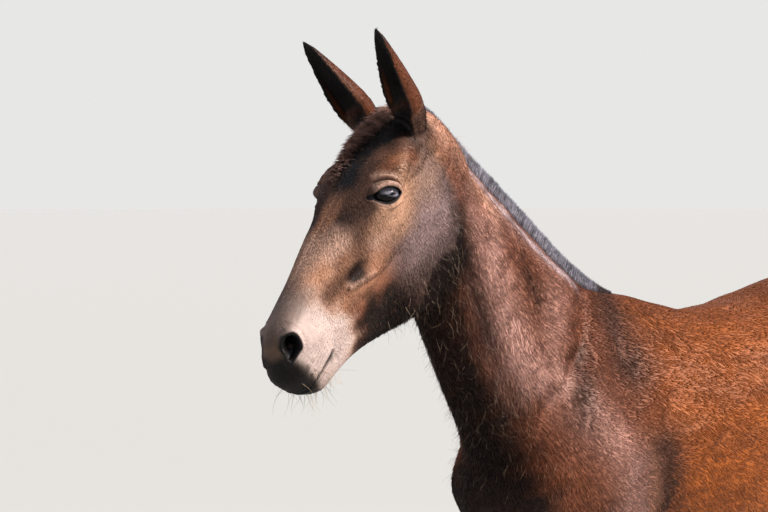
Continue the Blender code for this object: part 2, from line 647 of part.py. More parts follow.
def lid_rims(side):
    """The rims of both lids in one ring over the eyeball, the upper lid the fuller."""
    frame = eye_frame(side)
    rings = []
    for t in np.linspace(0, 2 * math.pi, 24, endpoint=False):
        c, s = math.cos(t), math.sin(t)
        radius = LID_CORNER + ((UPPER_LID if s > 0 else LOWER_LID) - LID_CORNER) * abs(s) ** 0.7
        x, z = (LID_HALF_LENGTH + LID_CORNER) * c, (LID_HALF_HEIGHT + radius * 0.85) * s
        out = math.sqrt(max(0.0, (EYE_RADIUS + LID_STAND) ** 2 - x * x - z * z))
        middle, away = Vector((x, out, z)), Vector((x, 0, z)).normalized()
        outward = Vector((x, out, z)).normalized()
        away = (away - outward * away.dot(outward)).normalized()
        turns = [math.radians(a) for a in range(0, 360, 60)]
        rings.append([frame @ (middle + (away * math.cos(a) + outward * math.sin(a)) * radius) for a in turns])
    mesh = bmesh.new()
    loops = [[mesh.verts.new(p) for p in ring] for ring in rings]
    for k, loop in enumerate(loops):
        after = loops[(k + 1) % len(loops)]
        for i in range(6):
            j = (i + 1) % 6
            mesh.faces.new((loop[i], loop[j], after[j], after[i]))
    bmesh.ops.recalc_face_normals(mesh, faces=mesh.faces)
    return make_object("lid_rims", mesh)


def ball(name, centre, radius, finish=None, rings=9):
    mesh = bmesh.new()
    place = Matrix.Translation(centre)
    bmesh.ops.create_uvsphere(mesh, u_segments=2 * rings, v_segments=rings, radius=radius, matrix=place)
    return make_object(name, mesh, finish)


def nostril_cutter(side):
    """A comma that leans with the lip: a wide top that hooks forward, and a narrow tail, deep into the nose."""
    mesh = bmesh.new()
    lean = math.radians(44)
    rings = []
    for depth, size in ((0.018, 1.12), (0.004, 1.0), (-0.008, 0.84), (-0.020, 0.55)):
        ring = []
        for t in np.linspace(0, 2 * math.pi, 18, endpoint=False):
            c, s = math.cos(t), math.sin(t)
            tail, top = max(0.0, -s), max(0.0, s)
            back = (NOSTRIL_HALF_WIDTH * c * (1 - 0.5 * tail) - 0.006 * top * top - 0.004 * tail * tail) * size
            down = -NOSTRIL_HALF_LENGTH * s * size
            x = math.sin(lean) * down - math.cos(lean) * back + depth * 0.35
            z = -math.cos(lean) * down - math.sin(lean) * back - depth * 0.30
            ring.append(HEAD @ Vector((NOSTRIL.x + x, side * (NOSTRIL.y + depth), NOSTRIL.z + z)))
        rings.append(ring)
    loft(mesh, rings)
    return make_object("nostril_cutter", mesh)


def mouth_cutter():
    """A thin ribbon round the muzzle between the lips, from corner to corner by way of the front."""
    mesh = bmesh.new()
    reach, inner_half = 0.115, 0.034
    rings = []
    for t in np.linspace(-math.pi / 2, math.pi / 2, 21):
        out = Vector((math.cos(t) ** 0.8 * reach, math.sin(t), 0))
        near = Vector((MOUTH_CORNER_X + out.x * 0.82, out.y * inner_half, 0))
        far = Vector((MOUTH_CORNER_X + out.x * 1.35, out.y * (inner_half + 0.05), 0))
        ring = []
        for point, half in ((near, 0.35), (far, 0.9)):
            for up in (1, -1):
                z = MOUTH_Z + up * half * MOUTH_SLIT - 0.10 * (point.x - MOUTH_CORNER_X)
                ring.append(HEAD @ Vector((point.x, point.y, z)))
        rings.append([ring[0], ring[1], ring[3], ring[2]])
    loft(mesh, rings)
    return make_object("mouth_cutter", mesh)


def make_head(flesh):
    head = copy_of(flesh, "head")
    boolean(head, head_wedge("wedge", 0.012), "INTERSECT")
    keep_largest(head)
    thinned(head, TRIANGLES["head"], keep_face_fine)
    boolean(head, head_wedge("wedge", 0.0), "INTERSECT")
    for _, side in SIDES:
        boolean(head, lid_rims(side), "UNION")
    boolean(head, mouth_cutter(), "DIFFERENCE")
    for _, side in SIDES:
        boolean(head, nostril_cutter(side), "DIFFERENCE")
        boolean(head, lid_opening(side), "DIFFERENCE")
        centre = eye_frame(side).translation
        boolean(head, ball("socket", centre, EYE_RADIUS + GAP), "DIFFERENCE")
    return finished(head, COAT)


def make_eyes():
    for name, side in SIDES:
        ball(f"eye_{name}", eye_frame(side).translation, EYE_RADIUS, EYE)


def ear_frame(name, side):
    """The ear's own frame: z up the ear, x out of its opening, y towards the body's left."""
    lean, spread = EAR_LEAN[name], EAR_SPREAD
    up = Vector((math.sin(lean), side * math.sin(spread), math.cos(lean))).normalized()
    face = Vector((math.cos(EAR_OPEN[name]), side * math.sin(EAR_OPEN[name]), 0))
    face = (face - up * face.dot(up)).normalized()
    turn = Matrix((face, up.cross(face), up)).transposed().to_4x4()
    root = HEAD @ Vector((EAR_ROOT.x, side * EAR_ROOT.y, EAR_ROOT.z))
    return Matrix.Translation(root) @ turn


def make_ear(name, side, head):
    """A long leaf-shaped cup that opens forward, solid at its root."""
    frame = ear_frame(name, side)
    share = np.concatenate([[-0.10, -0.05], np.linspace(0, 1, 11) ** 0.9])
    width = smooth_line(*zip(*EAR_WIDTH), share)[:, 0]
    depth = smooth_line(*zip(*EAR_DEPTH), share)[:, 0]
    hollow = np.clip(smooth_line(*zip(*EAR_HOLLOW), share)[:, 0], 0, 0.9)
    rings = []
    for s, w, d, k in zip(share, width, depth, hollow):
        curl = math.radians(112 - 20 * s)
        wall = min(EAR_WALL, 0.45 * w)
        front = -d * math.cos(curl)
        ring = []
        for a in np.linspace(-curl, curl, 9):
            ring.append((-d * math.cos(a), w * math.sin(a)))
        for a in np.linspace(curl, -curl, 7):
            back = -max(d - wall, 0.3 * d) * math.cos(a)
            ring.append((k * back + (1 - k) * front, (w - wall) * math.sin(a)))
        bend = EAR_BEND * math.sin(math.pi * s)
        rings.append([frame @ Vector((x - bend, y, s * EAR_LENGTH)) for x, y in ring])
    mesh = bmesh.new()
    loft(mesh, rings)
    ear = make_object(f"ear_{name}", mesh)
    boolean(ear, grown(head, "grown_head", GAP), "DIFFERENCE")
    return finished(keep_largest(ear), COAT)


def make_hoof(leg, name, side):
    """A horn shoe round the toe: a wall that widens to a flat sole, cut off along the coronet."""
    length, width, toe, heel, back = FORE_HOOF if leg == "fore" else HIND_HOOF
    sole = FORE_SOLE_X if leg == "fore" else HIND_SOLE_X
    out = (FORELEG if leg == "fore" else HINDLEG)[-1][4]
    rings = []
    for share in (0.0, 0.06, 0.5, 1.3):
        height = share * toe
        ring = []
        for t in np.linspace(0, 2 * math.pi, 18, endpoint=False):
            c, s = math.cos(t), math.sin(t)
            taper = 1 - 0.22 * share if share > 0.05 else 0.985
            x = length * taper * (c if c > 0 else c * 0.94) - back * share
            y = width * taper * s * (1 - 0.10 * max(0.0, -c))
            ring.append((sole + x, side * (out + y), height))
        rings.append(ring)
    mesh = bmesh.new()
    loft(mesh, rings)
    hoof = make_object(f"hoof_{leg}_{name}", mesh)
    point, normal = hoof_top(leg, side)
    cut_by_plane(hoof, point, -normal)
    return finished(hoof, HORN)


def lock(name, spine, across, half_width, half_thick, taper_power=2.4, blunt=0.12):
    """A flat lock of hair along its spine: a lens in section that tapers to a narrow tip."""
    rings = []
    last = len(spine) - 1
    for i, point in enumerate(spine):
        run = (spine[min(i + 1, last)] - spine[max(i - 1, 0)]).normalized()
        side = (across - run * across.dot(run)).normalized()
        out = run.cross(side)
        share = i / last
        taper = (1 - share**taper_power) * (0.8 + 0.2 * math.sin(math.pi * min(1.0, share * 1.6))) + blunt * share
        w, t = half_width * taper, max(0.0006, half_thick * taper)
        rings.append([point + side * w, point + out * t, point - side * w, point - out * t])
    mesh = bmesh.new()
    loft(mesh, rings)
    bmesh.ops.triangulate(mesh, faces=mesh.faces)
    return make_object(name, mesh)


def fused(core, pieces, solver):
    """The core with all its pieces joined to it by one Boolean, after which the pieces are gone."""
    group = bpy.data.collections.new("locks")
    bpy.context.scene.collection.children.link(group)
    for piece in pieces:
        bpy.context.scene.collection.objects.unlink(piece)
        group.objects.link(piece)
    union = core.modifiers.new("fuse_locks", "BOOLEAN")
    union.operation = "UNION"
    union.operand_type = "COLLECTION"
    union.collection = group
    union.solver = solver
    settled(core)
    for piece in pieces:
        bpy.data.objects.remove(piece)
    bpy.data.collections.remove(group)
    return keep_largest(core)


def cut_clear(obj, others):
    """The object, cut so that it meets each of the others with the gap between them."""
    for other in others:
        boolean(obj, grown(other, f"grown_{other.name}", GAP), "DIFFERENCE")
    return keep_largest(obj)


def tail_frame(rows, share):
    """A place on the tail's middle line: the point, the way it runs, and its half depth and half width."""
    at = share * (len(rows) - 1)
    k = min(int(at), len(rows) - 2)
    x, z, depth, width = rows[k] + (rows[k + 1] - rows[k]) * (at - k)
    run = Vector((rows[k + 1][0] - rows[k][0], 0, rows[k + 1][1] - rows[k][1])).normalized()
    return Vector((x, 0, z)), run, depth, width


def tail_core(rows):
    mesh = bmesh.new()
    rings = []
    for share in np.linspace(0, TAIL_CORE_END, 10):
        point, run, depth, width = tail_frame(rows, share)
        thin = 1 - (1 - TAIL_CORE_SHARE) * max(0.0, share - 0.2) / (TAIL_CORE_END - 0.2)
        if share == TAIL_CORE_END:
            thin *= 0.3
        back = Vector((-run.z, 0, run.x))
        section = superellipse(10, width * thin, depth * thin, depth * thin, 2.0, 2.0)
        rings.append([point + Vector((0, w, 0)) + back * d for w, d in section])
    loft(mesh, rings)
    return make_object("tail", mesh)


def tail_lock(rows, number, draw):
    """One long lock: rooted in the core, out over it, then down with the rest and in to its tip."""
    share = number / (TAIL_LOCKS - 1)
    angle = 2.4 * number + draw.uniform(-0.2, 0.2)
    start = 0.16 + 0.30 * share
    end = draw.uniform(0.86, 1.0) if share > 0.3 else draw.uniform(0.62, 0.85)
    spine = []
    for s in np.linspace(0, 1, 6):
        point, run, depth, width = tail_frame(rows, start + (end - start) * s)
        back = Vector((-run.z, 0, run.x))
        reach = 0.42 + 0.52 * math.sin(math.pi * min(0.5, 0.9 * s)) - 0.35 * s * s
        swing = angle + 0.45 * s * math.sin(number)
        spine.append(
            point + Vector((0, math.cos(swing) * width * reach, 0)) + back * (math.sin(swing) * depth * reach)
        )
    across = Vector((0, -math.sin(angle), 0)) + Vector((-1, 0, 0)) * math.cos(angle)
    size = draw.uniform(0.85, 1.15)
    return lock("tail_lock", spine, across, TAIL_LOCK_HALF_WIDTH * size, TAIL_LOCK_HALF_THICK * size)


def make_tail(torso):
    """The dock with its hair: a core half way down, and long locks that overlap over it to the tips."""
    rows = along(TAIL, 40)
    draw = random.Random(5)
    tail = tail_core(rows)
    fused(tail, [tail_lock(rows, n, draw) for n in range(TAIL_LOCKS)], "MANIFOLD")
    cut_clear(tail, [torso])
    return finished(tail, TAIL_HAIR)


def flesh_under(trees, point, direction):
    """Where a line from outside first meets the flesh."""
    hits = [tree.ray_cast(point, direction) for tree in trees]
    return min((h for h in hits if h[0] is not None), key=lambda h: h[3])[0]


def crest_places(trees, count):
    """Places along the crest from the withers to the poll: the point on the flesh, up and forward."""
    rows = [row[:2] for row in NECK[:-1]] + [tuple((HEAD @ Vector((0.0, 0, 0.006))).xz)]
    line = smooth_line(range(len(rows)), rows, np.linspace(0.72, len(rows) - 1, count))
    for i, (x, z) in enumerate(line):
        a, b = line[max(0, i - 1)], line[min(count - 1, i + 1)]
        ahead = Vector((b[0] - a[0], 0, b[1] - a[1])).normalized()
        up = Vector((-ahead.z, 0, ahead.x))
        yield flesh_under(trees, Vector((x, 0, z)) + up * 0.08, -up), up, ahead


def mane_core(places):
    """A low ridge along the crest, under half as high as the hair."""
    mesh = bmesh.new()
    rings = []
    last = len(places) - 1
    for i, (point, up, _) in enumerate(places):
        ends = min(1.0, 0.3 + 0.35 * i, 0.3 + 0.35 * (last - i))
        top = MANE_HEIGHT * MANE_CORE_SHARE * ends
        half = MANE_CORE_HALF_WIDTH * (0.5 + 0.5 * ends)
        section = ((half, -MANE_ROOT), (half * 0.9, 0.2 * top), (half * 0.5, top),
                   (-half * 0.5, top), (-half * 0.9, 0.2 * top), (-half, -MANE_ROOT))
        rings.append([point + Vector((0, y, 0)) + up * z for y, z in section])
    loft(mesh, rings)
    return make_object("mane", mesh)


def mane_lock(place, side, draw, share):
    """One upright lock of the clipped mane, leaning a little forward and to its own side."""
    point, up, ahead = place
    out = Vector((0, side, 0))
    height = MANE_HEIGHT * draw.uniform(0.96, 1.03) * min(1.0, 0.45 + 3.5 * share, 0.45 + 3.5 * (1 - share))
    lean = MANE_LEAN + draw.uniform(-0.08, 0.10)
    tip = ahead * draw.uniform(0.22, 0.46)
    root = point + out * MANE_CORE_HALF_WIDTH * 0.40 - up * MANE_ROOT * 0.6
    spine = []
    for s in np.linspace(0, 1, 4):
        rise = (height + MANE_ROOT * 0.6) * s
        spine.append(root + up * rise * math.cos(lean) + out * rise * math.sin(lean) * s + tip * rise * s)
    across = (ahead + out * draw.uniform(-0.3, 0.3)).normalized()
    size = draw.uniform(0.88, 1.12)
    return lock("mane_lock", spine, across, MANE_LOCK_HALF_WIDTH * size, MANE_LOCK_HALF_THICK * size, 8, 0.66)


def make_mane(trees, bodies):
    """The clipped mane: two rows of short upright locks that overlap along a low ridge on the crest."""
    count = 2 * MANE_LOCKS + 1
    places = list(crest_places(trees, count))
    draw = random.Random(11)
    pieces = []
    for i in range(1, count - 1):
        side = 1 if i % 2 else -1
        pieces.append(mane_lock(places[i], side, draw, i / (count - 1)))
    mane = mane_core(places[::3])
    fused(mane, pieces, "MANIFOLD")
    cut_clear(mane, bodies)
    return finished(mane, MANE_HAIR)


def make_forelock(trees, bodies):
    """The clipped forelock: short locks that fan out over the forehead from between the ears."""
    down = -HEAD.to_3x3().col[2].normalized()
    mesh = bmesh.new()
    pad = flesh_under(trees, HEAD @ Vector((0.052, 0, 0.1)), down)
    turn = HEAD.to_3x3().to_4x4()
    place = Matrix.Translation(pad) @ turn @ Matrix.Diagonal((0.030, 0.024, 0.007, 1))
    bmesh.ops.create_icosphere(mesh, subdivisions=2, radius=1, matrix=place)
    core = make_object("forelock", mesh)
    draw = random.Random(4)
    pieces = []
    for i in range(FORELOCK_LOCKS):
        spread = (i / (FORELOCK_LOCKS - 1) - 0.5) * 2
        row = i % 3
        spine = []
        for s in np.linspace(0, 1, 5):
            x = 0.040 + 0.012 * row + FORELOCK_REACH * s * draw.uniform(0.9, 1.0)
            y = 0.013 * spread + 0.020 * spread * s
            on = flesh_under(trees, HEAD @ Vector((x, y, 0.1)), down)
            spine.append(on - down * (0.002 + 0.009 * math.sin(math.pi * (0.15 + 0.75 * s))))
        across = turn.to_3x3() @ Vector((-0.3 * spread, 1, 0))
        pieces.append(lock("forelock_lock", spine, across, FORELOCK_HALF_WIDTH, FORELOCK_HALF_THICK))
    fused(core, pieces, "MANIFOLD")
    cut_clear(core, bodies)
    return finished(core, MANE_HAIR)


def finished(obj, finish):
    """The piece as one closed skin of triangles with its finish on it."""
    keep_largest(obj)
    obj.data.materials.clear()
    obj.data.materials.append(material(*finish))
    obj.data.shade_smooth()
    obj.data.set_sharp_from_angle(angle=math.radians(50))
    return obj


def centre_on_floor():
    """Moves every piece along the floor, so that the origin is under the middle of the animal's box."""
    corners = np.array([v.co for obj in bpy.data.objects for v in obj.data.vertices])
    middle = (corners.min(0) + corners.max(0)) / 2
    shift = Matrix.Translation((-middle[0], -middle[1], 0))
    for obj in bpy.data.objects:
        obj.data.transform(shift)
    print("moved by", [round(float(v), 5) for v in -middle[:2]])


def main():
    clear_scene()
    flesh, fine_head = whole_flesh(), head_flesh()
    head = make_head(fine_head)
    neck = make_neck(flesh)
    torso = make_torso(flesh)
    for leg in ("fore", "hind"):
        for name, side in SIDES:
            make_leg(flesh, leg, name, side)
            make_hoof(leg, name, side)
    make_eyes()
    for name, side in SIDES:
        make_ear(name, side, head)
    trees = [BVHTree.FromObject(obj, bpy.context.evaluated_depsgraph_get()) for obj in (flesh, fine_head)]
    make_mane(trees, [neck, torso, head])
    make_forelock(trees, [head, neck] + [bpy.data.objects[name] for name in ("mane", "ear_left", "ear_right")])
    make_tail(torso)
    for obj in (flesh, fine_head):
        bpy.data.objects.remove(obj)
    centre_on_floor()


main()
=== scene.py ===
"""A bay mule as a life-size still model, with its skin, coat, mane, tail, eyes and hooves."""
import json
import math

import bmesh
import bpy
import numpy as np
from mathutils import Matrix, Vector
from mathutils.bvhtree import BVHTree

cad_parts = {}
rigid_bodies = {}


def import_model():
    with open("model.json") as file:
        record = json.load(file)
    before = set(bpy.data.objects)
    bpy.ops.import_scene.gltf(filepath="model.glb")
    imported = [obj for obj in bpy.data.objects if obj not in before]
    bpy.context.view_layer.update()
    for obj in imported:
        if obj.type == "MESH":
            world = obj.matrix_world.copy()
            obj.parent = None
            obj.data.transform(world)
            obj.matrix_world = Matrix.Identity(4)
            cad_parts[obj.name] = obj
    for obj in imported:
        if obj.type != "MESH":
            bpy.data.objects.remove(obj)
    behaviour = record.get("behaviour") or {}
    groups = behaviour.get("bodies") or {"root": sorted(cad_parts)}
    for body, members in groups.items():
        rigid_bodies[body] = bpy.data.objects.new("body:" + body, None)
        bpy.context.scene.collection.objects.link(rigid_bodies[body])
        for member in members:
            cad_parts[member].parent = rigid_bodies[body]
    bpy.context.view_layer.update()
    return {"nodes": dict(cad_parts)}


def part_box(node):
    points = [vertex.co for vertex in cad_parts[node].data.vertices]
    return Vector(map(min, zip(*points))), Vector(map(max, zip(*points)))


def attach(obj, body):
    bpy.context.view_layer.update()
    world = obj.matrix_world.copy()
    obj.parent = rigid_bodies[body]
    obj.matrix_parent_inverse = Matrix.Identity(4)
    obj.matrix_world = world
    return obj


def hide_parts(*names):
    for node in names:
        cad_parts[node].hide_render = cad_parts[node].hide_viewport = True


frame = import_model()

# The camera stands at the mule's eye level, to its left front, about five and a half metres from the
# near eye, and looks over it towards the rump, so that the head and neck fill the frame.
CAMERA_TURN = math.radians(43.7)  # from the animal's left side round to its front
CAMERA_AWAY, CAMERA_HEIGHT = 5.47, 1.628
CAMERA_LENS, SENSOR_WIDTH = 124.9, 36.0
HORIZON_SHIFT = -0.0706  # the horizon lies above the middle of the picture by this share of its width

near_low, near_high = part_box("eye_left")
far_low, far_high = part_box("eye_right")
near_eye, far_eye = (near_low + near_high) / 2, (far_low + far_high) / 2
camera_back = Vector((math.sin(CAMERA_TURN), math.cos(CAMERA_TURN), 0))
camera_right = Vector((-math.cos(CAMERA_TURN), math.sin(CAMERA_TURN), 0))
AIM_FROM_EYE = Vector((-0.0087, -0.0133, 0))  # from the near eye to the point that the camera was set round
camera_place = near_eye + AIM_FROM_EYE + camera_back * CAMERA_AWAY
camera_place.z = CAMERA_HEIGHT
bpy.ops.object.camera_add(location=camera_place)
camera = bpy.context.object
camera.matrix_world = Matrix.Translation(camera_place) @ Matrix(
    (camera_right, Vector((0, 0, 1)), camera_back)).transposed().to_4x4()
camera.data.lens = CAMERA_LENS
camera.data.sensor_width = SENSOR_WIDTH
camera.data.shift_y = HORIZON_SHIFT
camera.data.clip_end = 3000
bpy.context.scene.camera = camera

# The skin is one seamless hide, from the ears to the coronets. It starts from the solids' own flesh,
# closed over its cuts and the eyes, and is kept fine on the head and coarser on the trunk and legs.
FLESH = ("torso", "neck", "head", "ear_left", "ear_right", "foreleg_left", "foreleg_right",
         "hindleg_left", "hindleg_right")
CUT_COVER = 0.0007  # how much each part is swollen, so that the cuts between them close
SAME_PLACE = 0.00002  # points closer than this are one
SKIN_GRAIN = 0.0036
SKIN_TRIANGLES = 150000
TRUNK_ROUNDS, LEG_ROUNDS, HEAD_ROUNDS = 70, 14, 4  # how often each is smoothed
EYE_RADIUS = 0.0290
LID_COVER = 0.0036  # how thick the lids lie over the eyeballs

HEAD_NOSE_DOWN, HEAD_TURN, HEAD_TILT = math.radians(46.5), math.radians(2), math.radians(3)
EYE_FROM_POLL = Vector((0.230, 0.080, -0.024))  # along the nose, to its left, and out of the forehead
head_place = (
    Matrix.Translation((near_eye + far_eye) / 2)
    @ Matrix.Rotation(HEAD_TURN, 4, "Z") @ Matrix.Rotation(HEAD_TILT, 4, "X")
    @ Matrix.Rotation(HEAD_NOSE_DOWN, 4, "Y")
    @ Matrix.Translation((-EYE_FROM_POLL.x, 0, -EYE_FROM_POLL.z))
)
head_axes = np.array(head_place.to_3x3())
head_origin = np.array(head_place.translation)


def pick_only(obj):
    """Selects that object alone and makes it the active one."""
    bpy.ops.object.select_all(action="DESELECT")
    obj.select_set(True)
    bpy.context.view_layer.objects.active = obj


def apply_modifiers(obj):
    pick_only(obj)
    for modifier in list(obj.modifiers):
        bpy.ops.object.modifier_apply(modifier=modifier.name)


def rows_of(items, value):
    """That value of each item, such as a point's place, as rows of three numbers."""
    numbers = np.empty(len(items) * 3, np.float32)
    items.foreach_get(value, numbers)
    return numbers.reshape(-1, 3).astype(float)


def points_of(mesh):
    return rows_of(mesh.vertices, "co")


def normals_of(mesh):
    return rows_of(mesh.vertex_normals, "vector")


def move_points(mesh, points):
    mesh.vertices.foreach_set("co", points.astype(np.float32).ravel())
    mesh.update()


def in_head(points):
    """The points in the head's frame: along the nose from the poll, to its left, out of the forehead."""
    return (points - head_origin) @ head_axes


def ramp(value, low, high):
    """0 below low, 1 above high, and a soft step between; high may be the smaller of the two."""
    share = np.clip((value - low) / (high - low), 0, 1)
    return share * share * (3 - 2 * share)


def head_amount(points):
    """1 on the head and ears, 0 behind the throat and poll."""
    at = in_head(points)
    past_poll = ramp(at[:, 0] + 0.35 * (at[:, 2] + 0.10), -0.075, 0.0)
    return past_poll * ramp(at[:, 2], -0.36, -0.29) * ramp(points[:, 2], 1.10, 1.2)


def face_amount(points):
    """1 on the head in front of the groove behind the cheek, 0 on the neck."""
    at = in_head(points)
    return head_amount(points) * ramp(at[:, 0] + 0.42 * at[:, 2], -0.030, 0.020)


def leg_amount(points):
    """1 on the slim part of the legs, 0 on the trunk."""
    return ramp(points[:, 2], 0.90, 0.74)


def weigh(obj, name, weights):
    """A vertex group on the object with those weights, rounded to twentieths."""
    group = obj.vertex_groups.new(name=name)
    steps = np.round(weights * 20).astype(int)
    for step in np.unique(steps):
        group.add(np.flatnonzero(steps == step).tolist(), float(step) / 20, "REPLACE")
    return group.name


def ease(obj, rounds, weights=None):
    """A modifier that smooths the object in that many rounds, the more the larger a point's weight is."""
    smooth = obj.modifiers.new("ease", "SMOOTH")
    smooth.factor = 0.5
    smooth.iterations = rounds
    if weights is not None:
        smooth.vertex_group = weigh(obj, smooth.name, weights)


def close_over(obj, grain):
    """A modifier that makes the object one closed, even mesh of that grain."""
    close = obj.modifiers.new("close", "REMESH")
    close.mode = "VOXEL"
    close.voxel_size = grain


def merged_copy(node, name, swell=0):
    """A copy of a CAD node as an object of its own, its doubles merged, swollen by that much."""
    copy = bpy.data.objects.new(name, frame["nodes"][node].data.copy())
    bpy.context.collection.objects.link(copy)
    pick_only(copy)
    bpy.ops.object.mode_set(mode="EDIT")
    bpy.ops.mesh.select_all(action="SELECT")
    bpy.ops.mesh.remove_doubles(threshold=SAME_PLACE)
    if swell:
        bpy.ops.transform.shrink_fatten(value=swell)
    bpy.ops.object.mode_set(mode="OBJECT")
    return copy


for name in FLESH:
    merged_copy(name, f"flesh_{name}", CUT_COVER)
for place in (near_eye, far_eye):
    bpy.ops.mesh.primitive_uv_sphere_add(segments=48, ring_count=24, radius=EYE_RADIUS + LID_COVER,
                                         location=place)
    bpy.context.object.name = "flesh_lids"
flesh = [obj for obj in bpy.data.objects if obj.name.startswith("flesh_")]
pick_only(flesh[0])
for part in flesh:
    part.select_set(True)
bpy.ops.object.join()
skin = bpy.context.object
skin.name = "skin"
bpy.ops.object.transform_apply(location=True, rotation=True, scale=True)
close_over(skin, SKIN_GRAIN)
apply_modifiers(skin)
points = points_of(skin.data)
on_head, on_leg = head_amount(points), leg_amount(points)
ease(skin, TRUNK_ROUNDS, (1 - on_head) * (1 - on_leg))
ease(skin, LEG_ROUNDS, on_leg)
ease(skin, HEAD_ROUNDS, on_head)
apply_modifiers(skin)
thin = skin.modifiers.new("thin", "DECIMATE")
thin.ratio = SKIN_TRIANGLES / (2 * len(skin.data.polygons))
thin.use_collapse_triangulate = True
thin.vertex_group = weigh(skin, "thin", ramp(on_head, 0.9, 0.2))
thin.vertex_group_factor = 0.0001
apply_modifiers(skin)
skin.vertex_groups.clear()

# The head's skin carries the forms that the coarse solids only hint at: two lids over each eyeball with
# a fold above them, the hollow over the eye, the facial crest, veins, rimmed nostrils and the lips.
EYE_FORWARD, EYE_UP, LID_SLANT = math.radians(21), math.radians(15), math.radians(36)
LID_HALF_LENGTH, UPPER_LID_HEIGHT, LOWER_LID_HEIGHT = 0.0308, 0.0168, 0.0136
LID_SHIFT, LID_RISE = 0.0034, 0.0036  # how far the slit lies towards the nose, and above the eye's middle
LID_BOW = 0.8  # 0.5 gives the lids round corners and 1 pointed ones
CANTHUS_LENGTH, CANTHUS_DEPTH = 0.017, 0.0042  # the dark wedge that runs on from the inner corner
CANTHUS_HALF_WIDTH = 0.0080
UPPER_FOLD_AT, UPPER_FOLD = 0.0050, 0.0042  # the upper lid's roll: its distance from the slit, and height
CREASE_AT, CREASE = 0.0106, -0.0048
LOWER_FOLD_AT, LOWER_FOLD = 0.0030, 0.0011
LIDS_REACH = 0.060  # nothing farther than this from the middle of an eye belongs to its lids
MOUTH_CORNER, MOUTH_LEVEL, MOUTH_FALL = 0.546, -0.142, 0.10
NOSTRIL = Vector((0.616, 0.043, -0.054))
NOSTRIL_LEAN, NOSTRIL_HALF_LENGTH, NOSTRIL_HALF_WIDTH = math.radians(44), 0.029, 0.0185

look = Vector((math.sin(EYE_FORWARD), math.cos(EYE_FORWARD) * math.cos(EYE_UP), math.sin(EYE_UP)))
look = look.normalized()
slit = Vector((math.cos(LID_SLANT), 0, math.sin(LID_SLANT)))
slit = (slit - look * slit.dot(look)).normalized()
eye_turn = Matrix((slit, look, slit.cross(look))).transposed().to_4x4()
eye_places = [
    head_place @ Matrix.Scale(side, 4, (0, 1, 0)) @ Matrix.Translation(EYE_FROM_POLL) @ eye_turn
    for side in (1, -1)
]


def turn_and_middle(place):
    return np.array(place.to_3x3()), np.array(place.translation)


def in_eye(points, place):
    """The points seen from one eye: along the slit of the lids, out of the eye, and up across the slit."""
    turn, middle = turn_and_middle(place)
    return (points - middle) @ turn


def eye_distance(points, place):
    return np.linalg.norm(points - np.array(place.translation), axis=1)


def drift(points, size, seed):
    """A smooth, patchy value from about -1 to 1 over the points, with patches of that size in metres."""
    draw = np.random.default_rng(seed)
    total = np.zeros(len(points))
    for _ in range(9):
        way = draw.normal(size=3)
        way *= draw.uniform(0.6, 1.7) * math.pi / size / np.linalg.norm(way)
        total += np.sin(points @ way + draw.uniform(0, 2 * math.pi))
    return total / 3.2


def bell(distance, width):
    return np.exp(-((distance / width) ** 2))


def mound(at, centre, radii):
    """1 at the centre and fading round it, on both sides of the head alike."""
    away = (np.column_stack([at[:, 0], np.abs(at[:, 1]), at[:, 2]]) - centre) / radii
    return np.exp(-(away**2).sum(axis=1))


def ridge(at, path, width):
    """1 along a path of points on the head's side and fading across it, on both sides alike."""
    folded = np.column_stack([at[:, 0], np.abs(at[:, 1]), at[:, 2]])
    nearest = np.full(len(at), 9.0)
    for a, b in zip(path[:-1], path[1:]):
        a, b = np.array(a), np.array(b)
        share = np.clip(((folded - a) @ (b - a)) / ((b - a) @ (b - a)), 0, 1)
        nearest = np.minimum(nearest, np.linalg.norm(folded - a - share[:, None] * (b - a), axis=1))
    return bell(nearest, width)


def patch(at, place, size):
    """A mound where the size is three radii, and a ridge along a path where it is one width."""
    return mound(at, place, size) if isinstance(size, tuple) else ridge(at, place, size)


def slit_distance(seen):
    """How far outside the opening of the lids a point lies, seen straight on."""
    along, across = seen[:, 0] - LID_SHIFT, seen[:, 2] - LID_RISE
    high = np.abs(across) / np.where(across > 0, UPPER_LID_HEIGHT, LOWER_LID_HEIGHT)
    reach = np.hypot(along / LID_HALF_LENGTH, high ** (0.5 / LID_BOW)) + 1e-9
    return (reach - 1) / reach * np.hypot(along, across)


def canthus_amount(seen):
    """1 in the wedge at the inner corner of the lids, which narrows away from the eye."""
    start = LID_SHIFT + LID_HALF_LENGTH - 0.010
    beyond = np.clip(seen[:, 0] - start, 0, CANTHUS_LENGTH)
    away = np.hypot(seen[:, 0] - start - beyond, seen[:, 2] - LID_RISE - 0.0005)
    half_width = CANTHUS_HALF_WIDTH * (1 - 0.4 * beyond / CANTHUS_LENGTH)
    return ramp(away / half_width, 1.35, 0.75) * (seen[:, 1] > 0)


def mouth_height(at):
    """How far above the line between the lips a point of the muzzle lies, in the head's frame."""
    return at[:, 2] - (MOUTH_LEVEL - MOUTH_FALL * (at[:, 0] - MOUTH_CORNER))


def nostril_distance(at):
    """About 1 on the rim of a nostril, less inside it and more outside."""
    x, z = at[:, 0] - NOSTRIL.x, at[:, 2] - NOSTRIL.z
    down = math.sin(NOSTRIL_LEAN) * x - math.cos(NOSTRIL_LEAN) * z
    back = -math.cos(NOSTRIL_LEAN) * x - math.sin(NOSTRIL_LEAN) * z
    low = np.clip(down / NOSTRIL_HALF_LENGTH, 0, 1)
    wide = NOSTRIL_HALF_WIDTH * (1 - 0.5 * low)
    return np.hypot(down / NOSTRIL_HALF_LENGTH, (back + 0.004 * low**2) / wide)


def ear_amount(points):
    """1 on the ears, 0 on the head below them."""
    at = in_head(points)
    return ramp(at[:, 2], 0.030, 0.052) * ramp(at[:, 0], 0.135, 0.110)


